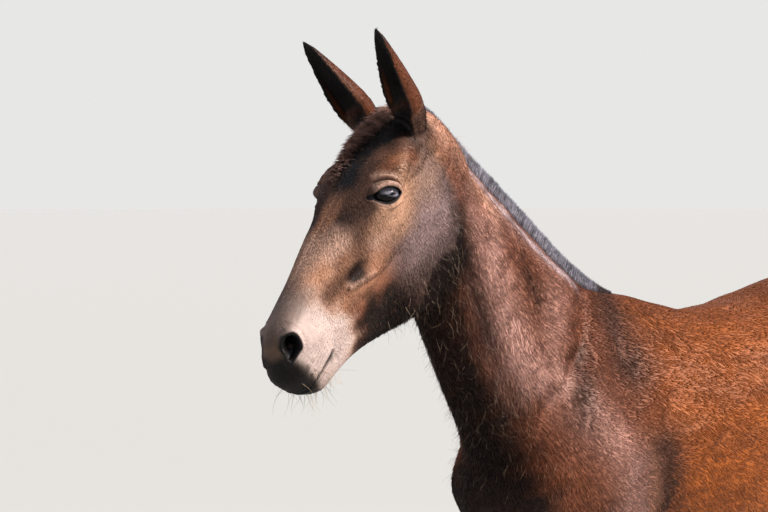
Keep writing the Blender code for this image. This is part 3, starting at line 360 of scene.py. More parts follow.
def coat_depth(points):
    """How far the skin lies under the coat's tips: most on the trunk, hardly at all on lids and lips."""
    at = in_head(points)
    on_head = head_amount(points)
    depth = 0.0040 - 0.0014 * leg_amount(points)
    depth = depth + on_head * (0.0017 - depth)
    depth = depth + ear_amount(points) * (0.0008 - depth)
    bare = on_head * ramp(at[:, 0], 0.50, 0.60)
    for place in eye_places:
        bare = np.maximum(bare, ramp(eye_distance(points, place), 0.054, 0.040))
    return depth * (1 - 0.85 * bare)


def refine(mesh, wanted, longest):
    """Splits the edges between wanted points that are longer than that."""
    work = bmesh.new()
    work.from_mesh(mesh)
    work.verts.ensure_lookup_table()
    edges = [
        e for e in work.edges
        if wanted[e.verts[0].index] and wanted[e.verts[1].index] and e.calc_length() > longest
    ]
    bmesh.ops.subdivide_edges(work, edges=edges, cuts=1, use_grid_fill=True)
    bmesh.ops.triangulate(work, faces=[f for f in work.faces if len(f.verts) > 3])
    work.to_mesh(mesh)
    work.free()


for longest in (0.0030, 0.0018):
    points = points_of(skin.data)
    at = in_head(points)
    wanted = np.zeros(len(points), bool)
    for place in eye_places:
        wanted |= eye_distance(points, place) < 0.052
    if longest > 0.002:
        wanted |= (at[:, 0] > 0.53) & (np.abs(mouth_height(at)) < 0.016)
        wanted |= (at[:, 0] > 0.53) & (nostril_distance(at) < 1.6) & (np.abs(at[:, 1]) > 0.02)
    refine(skin.data, wanted, longest)

ALAR_FOLD = (0.618, 0.034, -0.036)
FACIAL_CREST = ((0.300, 0.082, -0.112), (0.364, 0.070, -0.110), (0.424, 0.060, -0.088))
CREST_HOLLOW = ((0.374, 0.070, -0.080), (0.416, 0.060, -0.078))
BELOW_CREST = ((0.300, 0.085, -0.132), (0.370, 0.075, -0.140), (0.420, 0.065, -0.135))
UNDER_EYE_HOLLOW = ((0.276, 0.072, -0.024), (0.312, 0.050, 0.000), (0.334, 0.043, 0.012))
CHEEK_ARCH = ((0.175, 0.090, -0.030), (0.120, 0.092, -0.050), (0.075, 0.090, -0.050))
NOSE_DIP = ((0.470, 0.050, -0.030), (0.530, 0.045, -0.036), (0.570, 0.043, -0.040))
JAW_GROOVE = ((0.045, 0.080, -0.085), (0.070, 0.080, -0.155), (0.120, 0.075, -0.215))
LONG_VEIN = ((0.300, 0.075, -0.058), (0.350, 0.064, -0.064), (0.430, 0.055, -0.086))
CROSS_VEIN = ((0.355, 0.07, -0.070), (0.395, 0.06, -0.110), (0.420, 0.055, -0.165))
CHEEK_VEIN = ((0.235, 0.09, -0.075), (0.270, 0.088, -0.105), (0.310, 0.08, -0.140))
FACE_FORMS = (  # how high each stands, where it lies, and its radii or width
    (0.0030, (0.196, 0.088, -0.004), (0.040, 0.022, 0.018)),  # brow
    (-0.0075, (0.150, 0.074, 0.006), (0.020, 0.020, 0.016)),  # hollow over the eye
    (0.0030, FACIAL_CREST, 0.013), (0.0036, FACIAL_CREST[1:], 0.006), (-0.0070, CREST_HOLLOW, 0.014),
    (-0.0035, UNDER_EYE_HOLLOW, 0.018), (-0.0035, BELOW_CREST, 0.012), (0.0030, CHEEK_ARCH, 0.010),
    (0.0012, LONG_VEIN, 0.0035), (0.0014, CROSS_VEIN, 0.0035), (-0.0030, NOSE_DIP, 0.012),
    (0.0016, CHEEK_VEIN, 0.004), (-0.0050, JAW_GROOVE, 0.012),
)
points, normals = points_of(skin.data), normals_of(skin.data)
at = in_head(points)
on_head = head_amount(points)
lift = np.zeros(len(points))
for height, place, size in FACE_FORMS:
    lift += height * patch(at, place, size)
near_muzzle = ramp(at[:, 0], 0.50, 0.56)
lips = mouth_height(at)
in_mouth = ramp(at[:, 0], MOUTH_CORNER - 0.006, MOUTH_CORNER + 0.008)
outer_lip = ramp(np.abs(at[:, 1]) + 2.0 * np.clip(at[:, 0] - 0.60, 0, 1), 0.006, 0.016)
lift -= 0.0060 * bell(lips, 0.0030) * in_mouth * outer_lip
lift += 0.0016 * (bell(lips - 0.007, 0.004) + bell(lips + 0.007, 0.004)) * in_mouth
lift -= 0.0022 * ridge(at, ((0.520, 0.05, -0.120), (0.548, 0.05, -0.138), (0.552, 0.045, -0.160)), 0.005)
rim = nostril_distance(at)
beside = ramp(np.abs(at[:, 1]), 0.022, 0.034) * near_muzzle
lift += 0.0026 * bell(rim - 1.20, 0.22) * beside
lift -= 0.0016 * bell(rim - 1.62, 0.16) * beside
lift -= 0.0060 * ramp(rim, 0.95, 0.65) * beside
lift += 0.0030 * mound(at, ALAR_FOLD, (0.012, 0.014, 0.009))
for k in range(5):  # fine folds between the nostril and the corner of the mouth
    lift -= 0.0007 * bell(lips - 0.016 - 0.009 * k, 0.0016) * near_muzzle * ramp(rim, 1.3, 1.6)
lift *= on_head

# Neck and shoulder have the shallow grooves and folds of the muscles beneath.
NECK_FOLDS = ((0.400, 0.050, 1.570), (0.398, 0.058, 1.520)), ((0.382, 0.068, 1.475), (0.368, 0.085, 1.420))
SHOULDER_FURROW = ((0.154, 0.023, 1.435), (0.248, 0.093, 1.302), (0.262, 0.108, 1.270), (0.300, 0.155, 1.159))
SHOULDER_RIDGE = ((0.195, 0.090, 1.330), (0.235, 0.130, 1.220), (0.285, 0.165, 1.112))
BLADE_TOP = ((0.090, 0.029, 1.415), (0.116, 0.081, 1.341), (0.110, 0.120, 1.264))
THROAT_GROOVE = ((0.600, 0.074, 1.600), (0.580, 0.075, 1.500), (0.520, 0.080, 1.330), (0.440, 0.095, 1.150))
UPPER_ARM_EDGE = ((0.112, 0.185, 1.068), (0.108, 0.187, 0.947))
BEHIND_ARM = ((0.063, 0.191, 1.076), (0.059, 0.188, 0.900))
SHOULDER_FORMS = (
    (-0.0045, SHOULDER_FURROW, 0.026), (0.0032, SHOULDER_RIDGE, 0.026), (-0.0020, BLADE_TOP, 0.034),
    (0.0050, UPPER_ARM_EDGE, 0.028), (-0.0060, BEHIND_ARM, 0.030),
)
ARM_TOP, ARM_TOP_REACH, ARM_TOP_ROUNDS = (0.075, 0.193, 1.047), (0.060, 0.060, 0.050), 40
for fold in NECK_FOLDS:
    lift -= 0.0040 * ridge(points, fold, 0.020)
wavering = points + 0.012 * drift(points, 0.07, 5)[:, None]
for height, path, width in SHOULDER_FORMS:
    lift += height * ridge(wavering, path, width)
lift -= 0.0050 * ridge(points, THROAT_GROOVE, 0.018) * (1 - on_head)
lift += 0.0020 * drift(points, 0.060, 4) * (1 - on_head) * (1 - leg_amount(points))
for place, fullness in zip(eye_places, (1.0, 0.4)):  # the lids of the right eye are less drawn together
    seen = in_eye(points, place)
    outside, across = slit_distance(seen), seen[:, 2] - LID_RISE
    close = fullness * ramp(np.linalg.norm(seen, axis=1), 0.056, 0.044) * ramp(seen[:, 1], 0.004, 0.012)
    upper = close * ramp(across, -0.004, 0.003) * ramp(np.abs(seen[:, 0] - 0.002), 0.036, 0.018)
    lower = close * ramp(across, 0.003, -0.003)
    lift += upper * UPPER_FOLD * bell(outside - UPPER_FOLD_AT, 0.0044)
    lift += upper * CREASE * bell(outside - CREASE_AT, 0.0020)
    lift += upper * 0.0018 * bell(outside - 0.0155, 0.0028)
    lift -= upper * 0.0010 * bell(outside - 0.0198, 0.0016)
    lift += lower * LOWER_FOLD * bell(outside - LOWER_FOLD_AT, 0.0026)
    lift -= lower * 0.0005 * bell(outside - 0.0085, 0.0018)
    lift -= close * CANTHUS_DEPTH * canthus_amount(seen)
lift -= coat_depth(points)
move_points(skin.data, points + normals * lift[:, None])
ease(skin, ARM_TOP_ROUNDS, ramp(mound(points, ARM_TOP, ARM_TOP_REACH), 0.1, 0.6))
apply_modifiers(skin)
skin.vertex_groups.clear()


def cut_from(obj, cutter):
    """Cuts the cutter out of the object and removes it."""
    cut = obj.modifiers.new("cut", "BOOLEAN")
    cut.object = cutter
    cut.operation = "DIFFERENCE"
    cut.solver = "MANIFOLD"
    apply_modifiers(obj)
    bpy.data.objects.remove(cutter)


for place in eye_places:
    bpy.ops.mesh.primitive_cylinder_add(vertices=40, radius=1, depth=1, end_fill_type="NGON")
    opening = bpy.context.object
    outline = points_of(opening.data)
    rise = np.abs(outline[:, 1]) ** (2 * LID_BOW)
    rise *= np.where(outline[:, 1] < 0, UPPER_LID_HEIGHT, -LOWER_LID_HEIGHT)
    along = outline[:, 0] * LID_HALF_LENGTH + LID_SHIFT
    deep = np.where(outline[:, 2] > 0, 0.050, 0.004 + 0.7 * np.clip(along - 0.016, 0, 1))
    placed = np.column_stack([along, deep, LID_RISE + rise])
    turn, middle = turn_and_middle(place)
    move_points(opening.data, placed @ turn.T + middle)
    pick_only(opening)
    bpy.ops.object.mode_set(mode="EDIT")
    bpy.ops.mesh.select_all(action="SELECT")
    bpy.ops.mesh.normals_make_consistent(inside=False)
    bpy.ops.object.mode_set(mode="OBJECT")
    cut_from(skin, opening)
    bpy.ops.mesh.primitive_uv_sphere_add(segments=64, ring_count=32, radius=EYE_RADIUS + 0.0004,
                                         location=place.translation)
    cut_from(skin, bpy.context.object)
NOSTRIL_DEPTH, NOSTRIL_BORE = 0.036, (0.0110, 0.0160)
for side in (1, -1):
    inward = (head_place.to_3x3() @ Vector((-0.62, -0.62 * side, 0.10))).normalized()
    mouth = head_place @ Vector((NOSTRIL.x - 0.001, side * NOSTRIL.y, NOSTRIL.z - 0.002))
    bpy.ops.mesh.primitive_uv_sphere_add(segments=32, ring_count=20, radius=1)
    bore = bpy.context.object
    bore.scale = (*NOSTRIL_BORE, NOSTRIL_DEPTH)
    bore.location = mouth + inward * 0.020
    bore.rotation_euler = inward.to_track_quat("Z", "Y").to_euler()
    pick_only(bore)
    bpy.ops.object.transform_apply(location=True, rotation=True, scale=True)
    cut_from(skin, bore)
skin.modifiers.new("facets", "TRIANGULATE")
apply_modifiers(skin)

# The coat's colours are a bay mule's: red-brown with darker neck and top line, black points, a dark
# forehead, tan sides of the face and rings round the eyes, and a mealy muzzle. Skin and hair share them.
# Painted sheen lies on neck and crest, and painted shade on the forehead, throat, jaw, muzzle front,
# the creases and hollows of the face, the ear cups and the nostrils.
EAR_ROOT = Vector((0.052, 0.060, -0.006))
EAR_LENGTH = 0.248
EAR_LEANS, EAR_OPENS = (math.radians(36), math.radians(41)), (math.radians(-8), math.radians(8))
EAR_SPREAD = math.radians(9)


def paint(red, green, blue):
    """A colour given as it looks on a screen, 0 to 255, made linear."""
    share = np.array((red, green, blue)) / 255
    return np.where(share <= 0.04045, share / 12.92, ((share + 0.055) / 1.055) ** 2.4)


BAY, DEEP_BAY, BRIGHT_BAY = paint(124, 70, 46), paint(56, 31, 22), paint(160, 86, 36)
SOOT_AND_SHADE, DARK_POINTS, GREY_BROWN = paint(18, 12, 10), paint(30, 21, 17), paint(136, 112, 110)
FACE_BROWN, DARK_FOREHEAD_AND_SHADE, TAN = paint(82, 56, 45), paint(15, 10, 8), paint(182, 130, 102)
PALE_TAN, MEALY, LIP_SKIN_AND_SHADE = paint(194, 156, 138), paint(192, 170, 163), paint(15, 11, 9)
EYE_TAN, NECK_SHEEN, EAR_BACK = paint(186, 142, 116), paint(204, 158, 146), paint(100, 54, 32)
LOWER_RIM, UNDER_EYE_SHADE, NOSE_SHADE = paint(46, 41, 43), paint(48, 32, 27), paint(84, 66, 54)
CREST_HIGHLIGHT, CREST_FOOT, RUSSET = paint(216, 164, 140), paint(206, 186, 192), paint(140, 88, 62)
UNDERSIDE, NOSE_GREY_AND_SHADE, BLACK_SKIN_AND_SHADE = paint(150, 106, 74), paint(104, 84, 76), paint(12, 8, 8)
CREST_SHADOW_BROWN = paint(34, 18, 12)

# Painted sheen on the dried winter coat of neck and shoulder, where it shines paler in the light; pale
# hair with a painted highlight at the foot of the mane; and painted shade in the folds and furrows.
SHEEN_BANDS = (
    (((0.530, 0.045, 1.640), (0.505, 0.080, 1.440), (0.440, 0.100, 1.270)), 0.060, 0.95),
    (((0.560, 0.020, 1.720), (0.380, 0.025, 1.560), (0.200, 0.025, 1.450)), 0.030, 0.55),
    (((0.300, 0.060, 1.420), (0.330, 0.095, 1.330), (0.350, 0.115, 1.220)), 0.050, 0.45),
    (((0.270, 0.140, 1.160), (0.190, 0.175, 1.060), (0.180, 0.180, 0.960)), 0.065, 0.55),
)
CREST_SHEEN = ((0.690, 0.050, 1.800), (0.604, 0.055, 1.738), (0.518, 0.030, 1.690), (0.490, 0.045, 1.630))
MANE_FOOT_LINE = ((0.600, 0.040, 1.755), (0.497, 0.025, 1.675), (0.434, 0.030, 1.619), (0.373, 0.032, 1.571),
                  (0.313, 0.036, 1.520), (0.243, 0.031, 1.479), (0.190, 0.031, 1.447))
FOLD_SHADE_BANDS = (
    (NECK_FOLDS[0], 0.020, 0.80), (NECK_FOLDS[1], 0.024, 0.85), (SHOULDER_FURROW[1:], 0.030, 0.70),
    (BLADE_TOP, 0.042, 0.75), (BEHIND_ARM, 0.040, 0.85),
)

# The face's patches in the order that they lie over one another: colour, strength, and where.
CHEEK_STREAK = ((0.30, 0.075, -0.064), (0.37, 0.066, -0.120), (0.47, 0.060, -0.100), (0.56, 0.045, -0.090))
BROW_ARCH = ((0.200, 0.088, 0.012), (0.160, 0.093, 0.010), (0.120, 0.094, -0.020))
CHEEK_PATCHES = (
    (GREY_BROWN, 1.3, (0.190, 0.080, -0.160), (0.120, 0.080, 0.078)),
    (TAN, 0.80, CHEEK_STREAK, 0.034),
    (TAN, 0.7, (0.036, 0.075, -0.086), (0.030, 0.030, 0.036)),
    (PALE_TAN, 0.65, (0.125, 0.090, -0.082), (0.050, 0.060, 0.040)),
    (TAN, 0.7, (0.395, 0.050, -0.034), (0.040, 0.050, 0.024)),
    # painted shade in the hollow under the eye
    (UNDER_EYE_SHADE, 0.85, UNDER_EYE_HOLLOW, 0.021),
    (PALE_TAN, 0.75, ((0.245, 0.094, -0.074), (0.320, 0.080, -0.066)), 0.019),
    (BAY, 0.6, ((0.36, 0.060, -0.150), (0.46, 0.05, -0.150)), 0.035),
)
BROW_PATCHES = (
    # painted shade in the hollow over the eye
    (DARK_FOREHEAD_AND_SHADE, 0.85, (0.146, 0.084, 0.004), (0.020, 0.030, 0.016)),
    (RUSSET, 0.9, BROW_ARCH, 0.020),
    (TAN, 0.85, ((0.440, 0.042, -0.022), (0.500, 0.036, -0.020)), 0.024),
)
# where the painted shadow under the end of the facial crest lies
CREST_DENT, CREST_DENT_REACH = (0.393, 0.066, -0.078), (0.036, 0.060, 0.026)
NOSTRIL_CORNER = ((0.608, 0.034, -0.053), (0.585, 0.010, -0.050))


def ear_frame(number, side):
    """An ear's own frame: out of its opening, to the side, and up the ear."""
    up = Vector((math.sin(EAR_LEANS[number]), side * math.sin(EAR_SPREAD), math.cos(EAR_LEANS[number])))
    up = up.normalized()
    face = Vector((math.cos(EAR_OPENS[number]), side * math.sin(EAR_OPENS[number]), 0))
    face = (face - up * face.dot(up)).normalized()
    turn = Matrix((face, up.cross(face), up)).transposed().to_4x4()
    return Matrix.Translation(head_place @ Vector((EAR_ROOT.x, side * EAR_ROOT.y, EAR_ROOT.z))) @ turn


ear_frames = [ear_frame(number, side) for number, side in enumerate((1, -1))]


def plain(colour, count):
    """That many rows of one colour."""
    return np.repeat(colour[None, :], count, axis=0)


def mix(colours, other, share):
    return colours + (other - colours) * np.clip(share, 0, 1)[:, None]


def in_ear_cup(points, normals):
    """1 where the surface faces into the cup of an ear."""
    left = points[:, 1] > head_origin[1]
    facing = np.where(left, *[normals @ np.array(ear.to_3x3().col[0]) for ear in ear_frames])
    return ear_amount(points) * ramp(facing, -0.05, 0.30)


def body_markings(points, on_head, patchy, small):
    """Bay with a darker top line, a dark throat that is partly painted shade, and black legs, with painted
    sheen on the winter coat and painted shade in its folds.
    """
    x, z = points[:, 0], points[:, 2]
    colours = plain(BAY, len(points))
    colours = mix(colours, BRIGHT_BAY, ramp(x + 0.04 * patchy, 0.14, -0.02) * (0.85 + 0.15 * small))
    colours = mix(colours, DEEP_BAY, ramp(z + 0.02 * small, 1.30, 1.44) * ramp(x, 0.2, -0.1) * 0.55)
    colours = mix(colours, DEEP_BAY, ramp(patchy + 0.5 * small, 0.0, 1.4) * ramp(x, 0.0, 0.15) * 0.50)
    waver = points + 0.005 * patchy[:, None] + 0.006 * small[:, None]
    # painted sheen where the coat catches the light, and a painted highlight on the crest behind the ears
    for path, reach, share in SHEEN_BANDS:
        colours = mix(colours, NECK_SHEEN, ridge(waver, path, reach) * share * (0.85 + 0.20 * small))
    colours = mix(colours, CREST_HIGHLIGHT, ridge(waver, CREST_SHEEN, 0.034) * 0.95)
    # pale hair with a painted highlight along the foot of the mane
    colours = mix(colours, CREST_FOOT, ridge(points, MANE_FOOT_LINE, 0.0105 + 0.002 * small) * 0.85)
    # painted shade in the folds and furrows of neck and shoulder
    for path, reach, share in FOLD_SHADE_BANDS:
        colours = mix(colours, DEEP_BAY, ridge(points + 0.007 * small[:, None], path, reach) * share)
    # painted highlight along the raised edge of the upper arm
    colours = mix(colours, TAN, ridge(waver, UPPER_ARM_EDGE, 0.016) * 0.4)
    belly = ramp(z + 0.02 * patchy, 0.93, 0.82) * ramp(x, 0.05, -0.05) * ramp(x, -0.85, -0.6)
    colours = mix(colours, UNDERSIDE, belly)
    # the throat: dark hair with painted shade under the head and neck
    throat_line = 0.400 + 0.457 * (z - 0.976)
    throat = ramp(x + 0.018 * small + 0.01 * patchy, throat_line - 0.05, throat_line + 0.03)
    colours = mix(colours, SOOT_AND_SHADE, throat * ramp(z, 0.80, 0.95) * 0.92)
    # painted shade in the groove along the throat
    groove = ridge(points, THROAT_GROOVE[:3], 0.022 + 0.005 * small) * (1 - on_head)
    colours = mix(colours, DEEP_BAY, groove * 0.8)
    return mix(colours, DARK_POINTS, ramp(z + 0.03 * patchy, 0.84, 0.52) * 0.95)


def brow_and_cheek(at, small):
    """The face without its eyes and muzzle: a dark forehead deepened by painted shade, a tan nose, tan and
    grey cheeks, painted shade in the hollows and a painted highlight on the facial crest.
    """
    side = np.abs(at[:, 1])
    face = plain(FACE_BROWN, len(at))
    for colour, strength, place, size in CHEEK_PATCHES:
        face = mix(face, colour, strength * patch(at, place, size))
    front = ramp(at[:, 2] + 0.01 * small, -0.045, -0.008)
    centre_line = side + 0.31 * (at[:, 0] - 0.132) + 0.008 * small
    # the dark forehead: dark hair deepened by painted shade
    forehead = front * ramp(centre_line, 0.074, 0.044) * ramp(at[:, 0] + 0.02 * small, 0.40, 0.22)
    face = mix(face, DARK_FOREHEAD_AND_SHADE, forehead)
    nose_line = front * ramp(side + 0.003 * small, 0.036, 0.014) * ramp(at[:, 0], 0.235, 0.300)
    face = mix(face, TAN, nose_line * 0.55)
    face = mix(face, PALE_TAN, front * ramp(at[:, 0] + 0.3 * side + 0.006 * small, 0.335, 0.400) * 0.85)
    for colour, strength, place, size in BROW_PATCHES:
        face = mix(face, colour, strength * patch(at, place, size))
    # painted shadow under the facial crest
    face = mix(face, CREST_SHADOW_BROWN, ramp(mound(at, CREST_DENT, CREST_DENT_REACH), 0.30, 0.85))
    # painted highlight along the facial crest
    return mix(face, PALE_TAN, 0.8 * ridge(at, FACIAL_CREST[1:], 0.0045))


def paint_lids(face, points, place, lit, small):
    """The tan ring round an eye, the pale folds of its lids with painted shade in their crease, and their
    black rims; a lit below 1 weakens the ring and the upper folds, as painted shade.
    """
    seen = in_eye(points, place)
    ring = np.linalg.norm(seen, axis=1)
    near = ring < LIDS_REACH
    outside = np.where(near, slit_distance(seen), 1.0)
    behind = ramp(seen[:, 0] + 0.8 * seen[:, 2], 0.030, -0.010)
    face = mix(face, EYE_TAN, ramp(ring + 0.008 * small, 0.112, 0.050) * 0.90 * behind * lit)
    high = ramp(seen[:, 2], 0.000, 0.008)
    roll = high * bell(outside - 0.0058, 0.0040) * ramp(np.abs(seen[:, 0]), 0.034, 0.022)
    face = mix(face, PALE_TAN, roll * lit)
    upper_roll = high * bell(outside - 0.0190, 0.0050) * ramp(np.abs(seen[:, 0] + 0.004), 0.032, 0.014)
    face = mix(face, PALE_TAN, upper_roll * 0.7 * lit)
    lower_roll = (1 - high) * bell(outside - 0.005, 0.003) * ramp(seen[:, 0], -0.024, 0.0)
    face = mix(face, PALE_TAN, lower_roll * 0.7)
    # painted shade in the crease above the upper lid
    face = mix(face, SOOT_AND_SHADE, bell(outside - CREASE_AT, 0.0013) * (seen[:, 2] > 0.004) * 0.60)
    # dark skin with painted shade in the inner corner of the lids
    face = mix(face, BLACK_SKIN_AND_SHADE, np.where(near, canthus_amount(seen), 0))
    face = mix(face, LOWER_RIM, ramp(outside, 0.0050, 0.0030) * (1 - high))
    return mix(face, BLACK_SKIN_AND_SHADE, ramp(outside, 0.0022, 0.0008))


def paint_jaw_and_muzzle(face, at, small, tiny):
    """Dark hair and painted shade under the jaw; a mealy muzzle with a grey nose and dark lips, both darkened
    by painted shade at the front; and black nostrils, painted shade in their hollows.
    """
    side = np.abs(at[:, 1])
    # under and behind the jaw: dark hair with painted shade
    jaw = ramp(at[:, 2] + 0.014 * small, -0.134, -0.172) * ramp(at[:, 0] + 0.02 * small, 0.53, 0.45)
    face = mix(face, SOOT_AND_SHADE, jaw * ramp(at[:, 0], 0.28, 0.36) * 0.92)
    face = mix(face, SOOT_AND_SHADE, ramp(at[:, 2] + 0.02 * small, -0.215, -0.245) * ramp(at[:, 0], 0.44, 0.30) * 0.85)
    face = mix(face, SOOT_AND_SHADE, ramp(at[:, 0] + 0.01 * small, 0.045, -0.01) * ramp(at[:, 2], -0.08, -0.15) * 0.75)
    down_nose = at[:, 0] - 0.25 * np.clip(at[:, 2] + 0.08, -0.06, 0.1)
    down_nose = down_nose - 0.9 * np.clip(MOUTH_LEVEL - at[:, 2], 0, 0.06)
    muzzle = ramp(down_nose + 0.016 * small + 0.004 * tiny, 0.440, 0.545)
    face = mix(face, PALE_TAN, ramp(muzzle, 0.0, 0.6) * 0.8)
    face = mix(face, MEALY, ramp(muzzle, 0.25, 1.0))
    # the front of the nose: grey skin darkened by painted shade
    nose_front = ramp(at[:, 2] + 0.5 * (0.03 - side) + 0.006 * small, -0.052, -0.022)
    face = mix(face, NOSE_GREY_AND_SHADE, nose_front * ramp(at[:, 0], 0.46, 0.52) * 0.8)
    speckles = ramp(tiny + 0.5 * small, 0.35, 0.9) * ramp(at[:, 0], 0.585, 0.615) * ramp(side, 0.060, 0.045)
    face = mix(face, LIP_SKIN_AND_SHADE, speckles * ramp(at[:, 2], -0.075, -0.095) * 0.75)
    # painted shade on the front of the nose tip, and dark skin under painted shade below it
    nose_tip = ramp(at[:, 0] + 0.5 * (0.04 - side) + 0.004 * small, 0.602, 0.640)
    face = mix(face, NOSE_SHADE, nose_tip)
    low = ramp(at[:, 2] - 0.25 * (side - 0.03) + 0.006 * small, -0.038, -0.068)
    face = mix(face, LIP_SKIN_AND_SHADE, nose_tip * low)
    lips, rim = mouth_height(at), nostril_distance(at)
    # painted shade in the line between the lips
    lip_shade = 0.0034 + 0.0030 * bell(at[:, 0] - MOUTH_CORNER - 0.012, 0.012)
    face = mix(face, SOOT_AND_SHADE, bell(lips, lip_shade) * ramp(at[:, 0], MOUTH_CORNER - 0.004, MOUTH_CORNER + 0.006))
    # dark skin round the nostrils, with painted shade in their hollows and in front of them
    beside = ramp(side, 0.016, 0.030) * ramp(at[:, 0], 0.54, 0.57)
    face = mix(face, SOOT_AND_SHADE, ramp(rim + 0.04 * small, 1.18, 1.04) * beside)
    face = mix(face, BLACK_SKIN_AND_SHADE, ramp(rim, 1.06, 0.95) * beside)
    return mix(face, BLACK_SKIN_AND_SHADE, ramp(ridge(at, NOSTRIL_CORNER, 0.016), 0.25, 0.45))


def markings(points, normals):
    """The colour of the coat at each point, for the skin and for the hair that grows there."""
    at = in_head(points)
    on_head, ears = face_amount(points), ear_amount(points)
    patchy, small, tiny = drift(points, 0.16, 1), drift(points, 0.035, 2), drift(points, 0.007, 3)
    colours = body_markings(points, on_head, patchy, small)
    face = brow_and_cheek(at, small)
    for place, lit in zip(eye_places, (1.0, 0.3)):  # painted shade weakens the pale rings round the right eye
        face = paint_lids(face, points, place, lit, small)
    face = paint_jaw_and_muzzle(face, at, small, tiny)
    up_ear = at[:, 2] / EAR_LENGTH
    ear = mix(plain(EAR_BACK, len(points)), SOOT_AND_SHADE, ramp(up_ear + 0.03 * small, 0.62, 0.95) * 0.85)
    # painted shade, nearly black, in the cup of each ear
    ear = mix(ear, BLACK_SKIN_AND_SHADE, in_ear_cup(points, normals))
    face = face + (ear - face) * ears[:, None]
    colours = colours + (face - colours) * on_head[:, None]
    return colours * (1 + 0.10 * small + 0.05 * tiny)[:, None]


def wear_colours(mesh, colours):
    """Stores the colours on the mesh's points, where its material reads them."""
    layer = mesh.color_attributes.new("markings", "FLOAT_COLOR", "POINT")
    opaque = np.column_stack([colours, np.ones(len(colours))])
    layer.data.foreach_set("color", opaque.astype(np.float32).ravel())


def corners_of(mesh):
    """The number of the point at each corner of each triangle."""
    corners = np.empty(len(mesh.loops), int)
    mesh.loops.foreach_get("vertex_index", corners)
    return corners


def unwrap_by_sides(mesh):
    """Lays the hide out flat: each stretch of each body part, seen square on, on shelves in one square."""
    middles, facing = rows_of(mesh.polygons, "center"), rows_of(mesh.polygons, "normal")
    side = (middles[:, 1] > 0).astype(int)
    section = np.where(leg_amount(middles) > 0.5, 4 + 2 * (middles[:, 0] > -0.3), 2)
    section = np.where(head_amount(middles) > 0.5, 0, section)
    section = np.where(ear_amount(middles) > 0.5, 8, section) + side
    widest = np.abs(facing).argmax(axis=1)
    towards = np.take_along_axis(facing, widest[:, None], axis=1)[:, 0] > 0
    island = section * 6 + widest * 2 + towards
    corner_points = points_of(mesh)[corners_of(mesh)]
    corner_island = np.repeat(island, 3)
    flat = np.empty((len(corner_points), 2))
    boxes = []
    for number in np.unique(island):
        here = corner_island == number
        across, up = ((1, 2), (0, 2), (0, 1))[(number % 6) // 2]
        seen = corner_points[here][:, (across, up)]
        low = seen.min(axis=0)
        flat[here] = seen - low
        boxes.append((number, *(seen.max(axis=0) - low)))
    boxes.sort(key=lambda row: -row[2])
    margin, sheet = 0.02, 1.0
    while True:
        x = y = shelf = 0.0
        places = {}
        for number, wide, high in boxes:
            if x + wide + margin > sheet:
                x, y, shelf = 0.0, y + shelf + margin, 0.0
            places[number] = (x, y)
            x, shelf = x + wide + margin, max(shelf, high)
        if y + shelf <= sheet and max(box[1] for box in boxes) + margin < sheet:
            break
        sheet *= 1.05
    for number, place in places.items():
        flat[corner_island == number] += place
    layer = mesh.uv_layers.new(name="hide")
    layer.data.foreach_set("uv", (flat / sheet).astype(np.float32).ravel())
    return (flat / sheet).reshape(-1, 3, 2)


hide_points, hide_normals = points_of(skin.data), normals_of(skin.data)
wear_colours(skin.data, markings(hide_points, hide_normals))
hide_uv = unwrap_by_sides(skin.data)
hide_corners = corners_of(skin.data).reshape(-1, 3)
pick_only(skin)
bpy.ops.object.shade_smooth()


def hair_group():
    """A node group: the stored markings, lighter and darker in fine streaks, and a fine bump height."""
    group = bpy.data.node_groups.new("fine_hair", "ShaderNodeTree")
    group.interface.new_socket("Streak size", in_out="INPUT", socket_type="NodeSocketFloat")
    group.interface.new_socket("Contrast", in_out="INPUT", socket_type="NodeSocketFloat")
    group.interface.new_socket("Colour", in_out="OUTPUT", socket_type="NodeSocketColor")
    group.interface.new_socket("Height", in_out="OUTPUT", socket_type="NodeSocketFloat")
    nodes, links = group.nodes, group.links
    given, out = nodes.new("NodeGroupInput"), nodes.new("NodeGroupOutput")
    stored = nodes.new("ShaderNodeAttribute")
    stored.attribute_name = "markings"
    where = nodes.new("ShaderNodeTexCoord")
    stretch = nodes.new("ShaderNodeMapping")
    stretch.inputs["Scale"].default_value = (0.35, 1.0, 0.45)
    links.new(where.outputs["Object"], stretch.inputs["Vector"])
    noise = nodes.new("ShaderNodeTexNoise")
    noise.inputs["Detail"].default_value = 3
    links.new(stretch.outputs["Vector"], noise.inputs["Vector"])
    links.new(given.outputs["Streak size"], noise.inputs["Scale"])
    spread = nodes.new("ShaderNodeMath")
    spread.operation = "SUBTRACT"
    spread.inputs[1].default_value = 0.5
    links.new(noise.outputs["Fac"], spread.inputs[0])
    amount = nodes.new("ShaderNodeMath")
    amount.operation = "MULTIPLY_ADD"
    amount.inputs[2].default_value = 1.0
    links.new(spread.outputs[0], amount.inputs[0])
    links.new(given.outputs["Contrast"], amount.inputs[1])
    shade = nodes.new("ShaderNodeVectorMath")
    shade.operation = "SCALE"
    links.new(stored.outputs["Color"], shade.inputs[0])
    links.new(amount.outputs[0], shade.inputs["Scale"])
    links.new(shade.outputs["Vector"], out.inputs["Colour"])
    links.new(noise.outputs["Fac"], out.inputs["Height"])
    return group


fine_hair = hair_group()


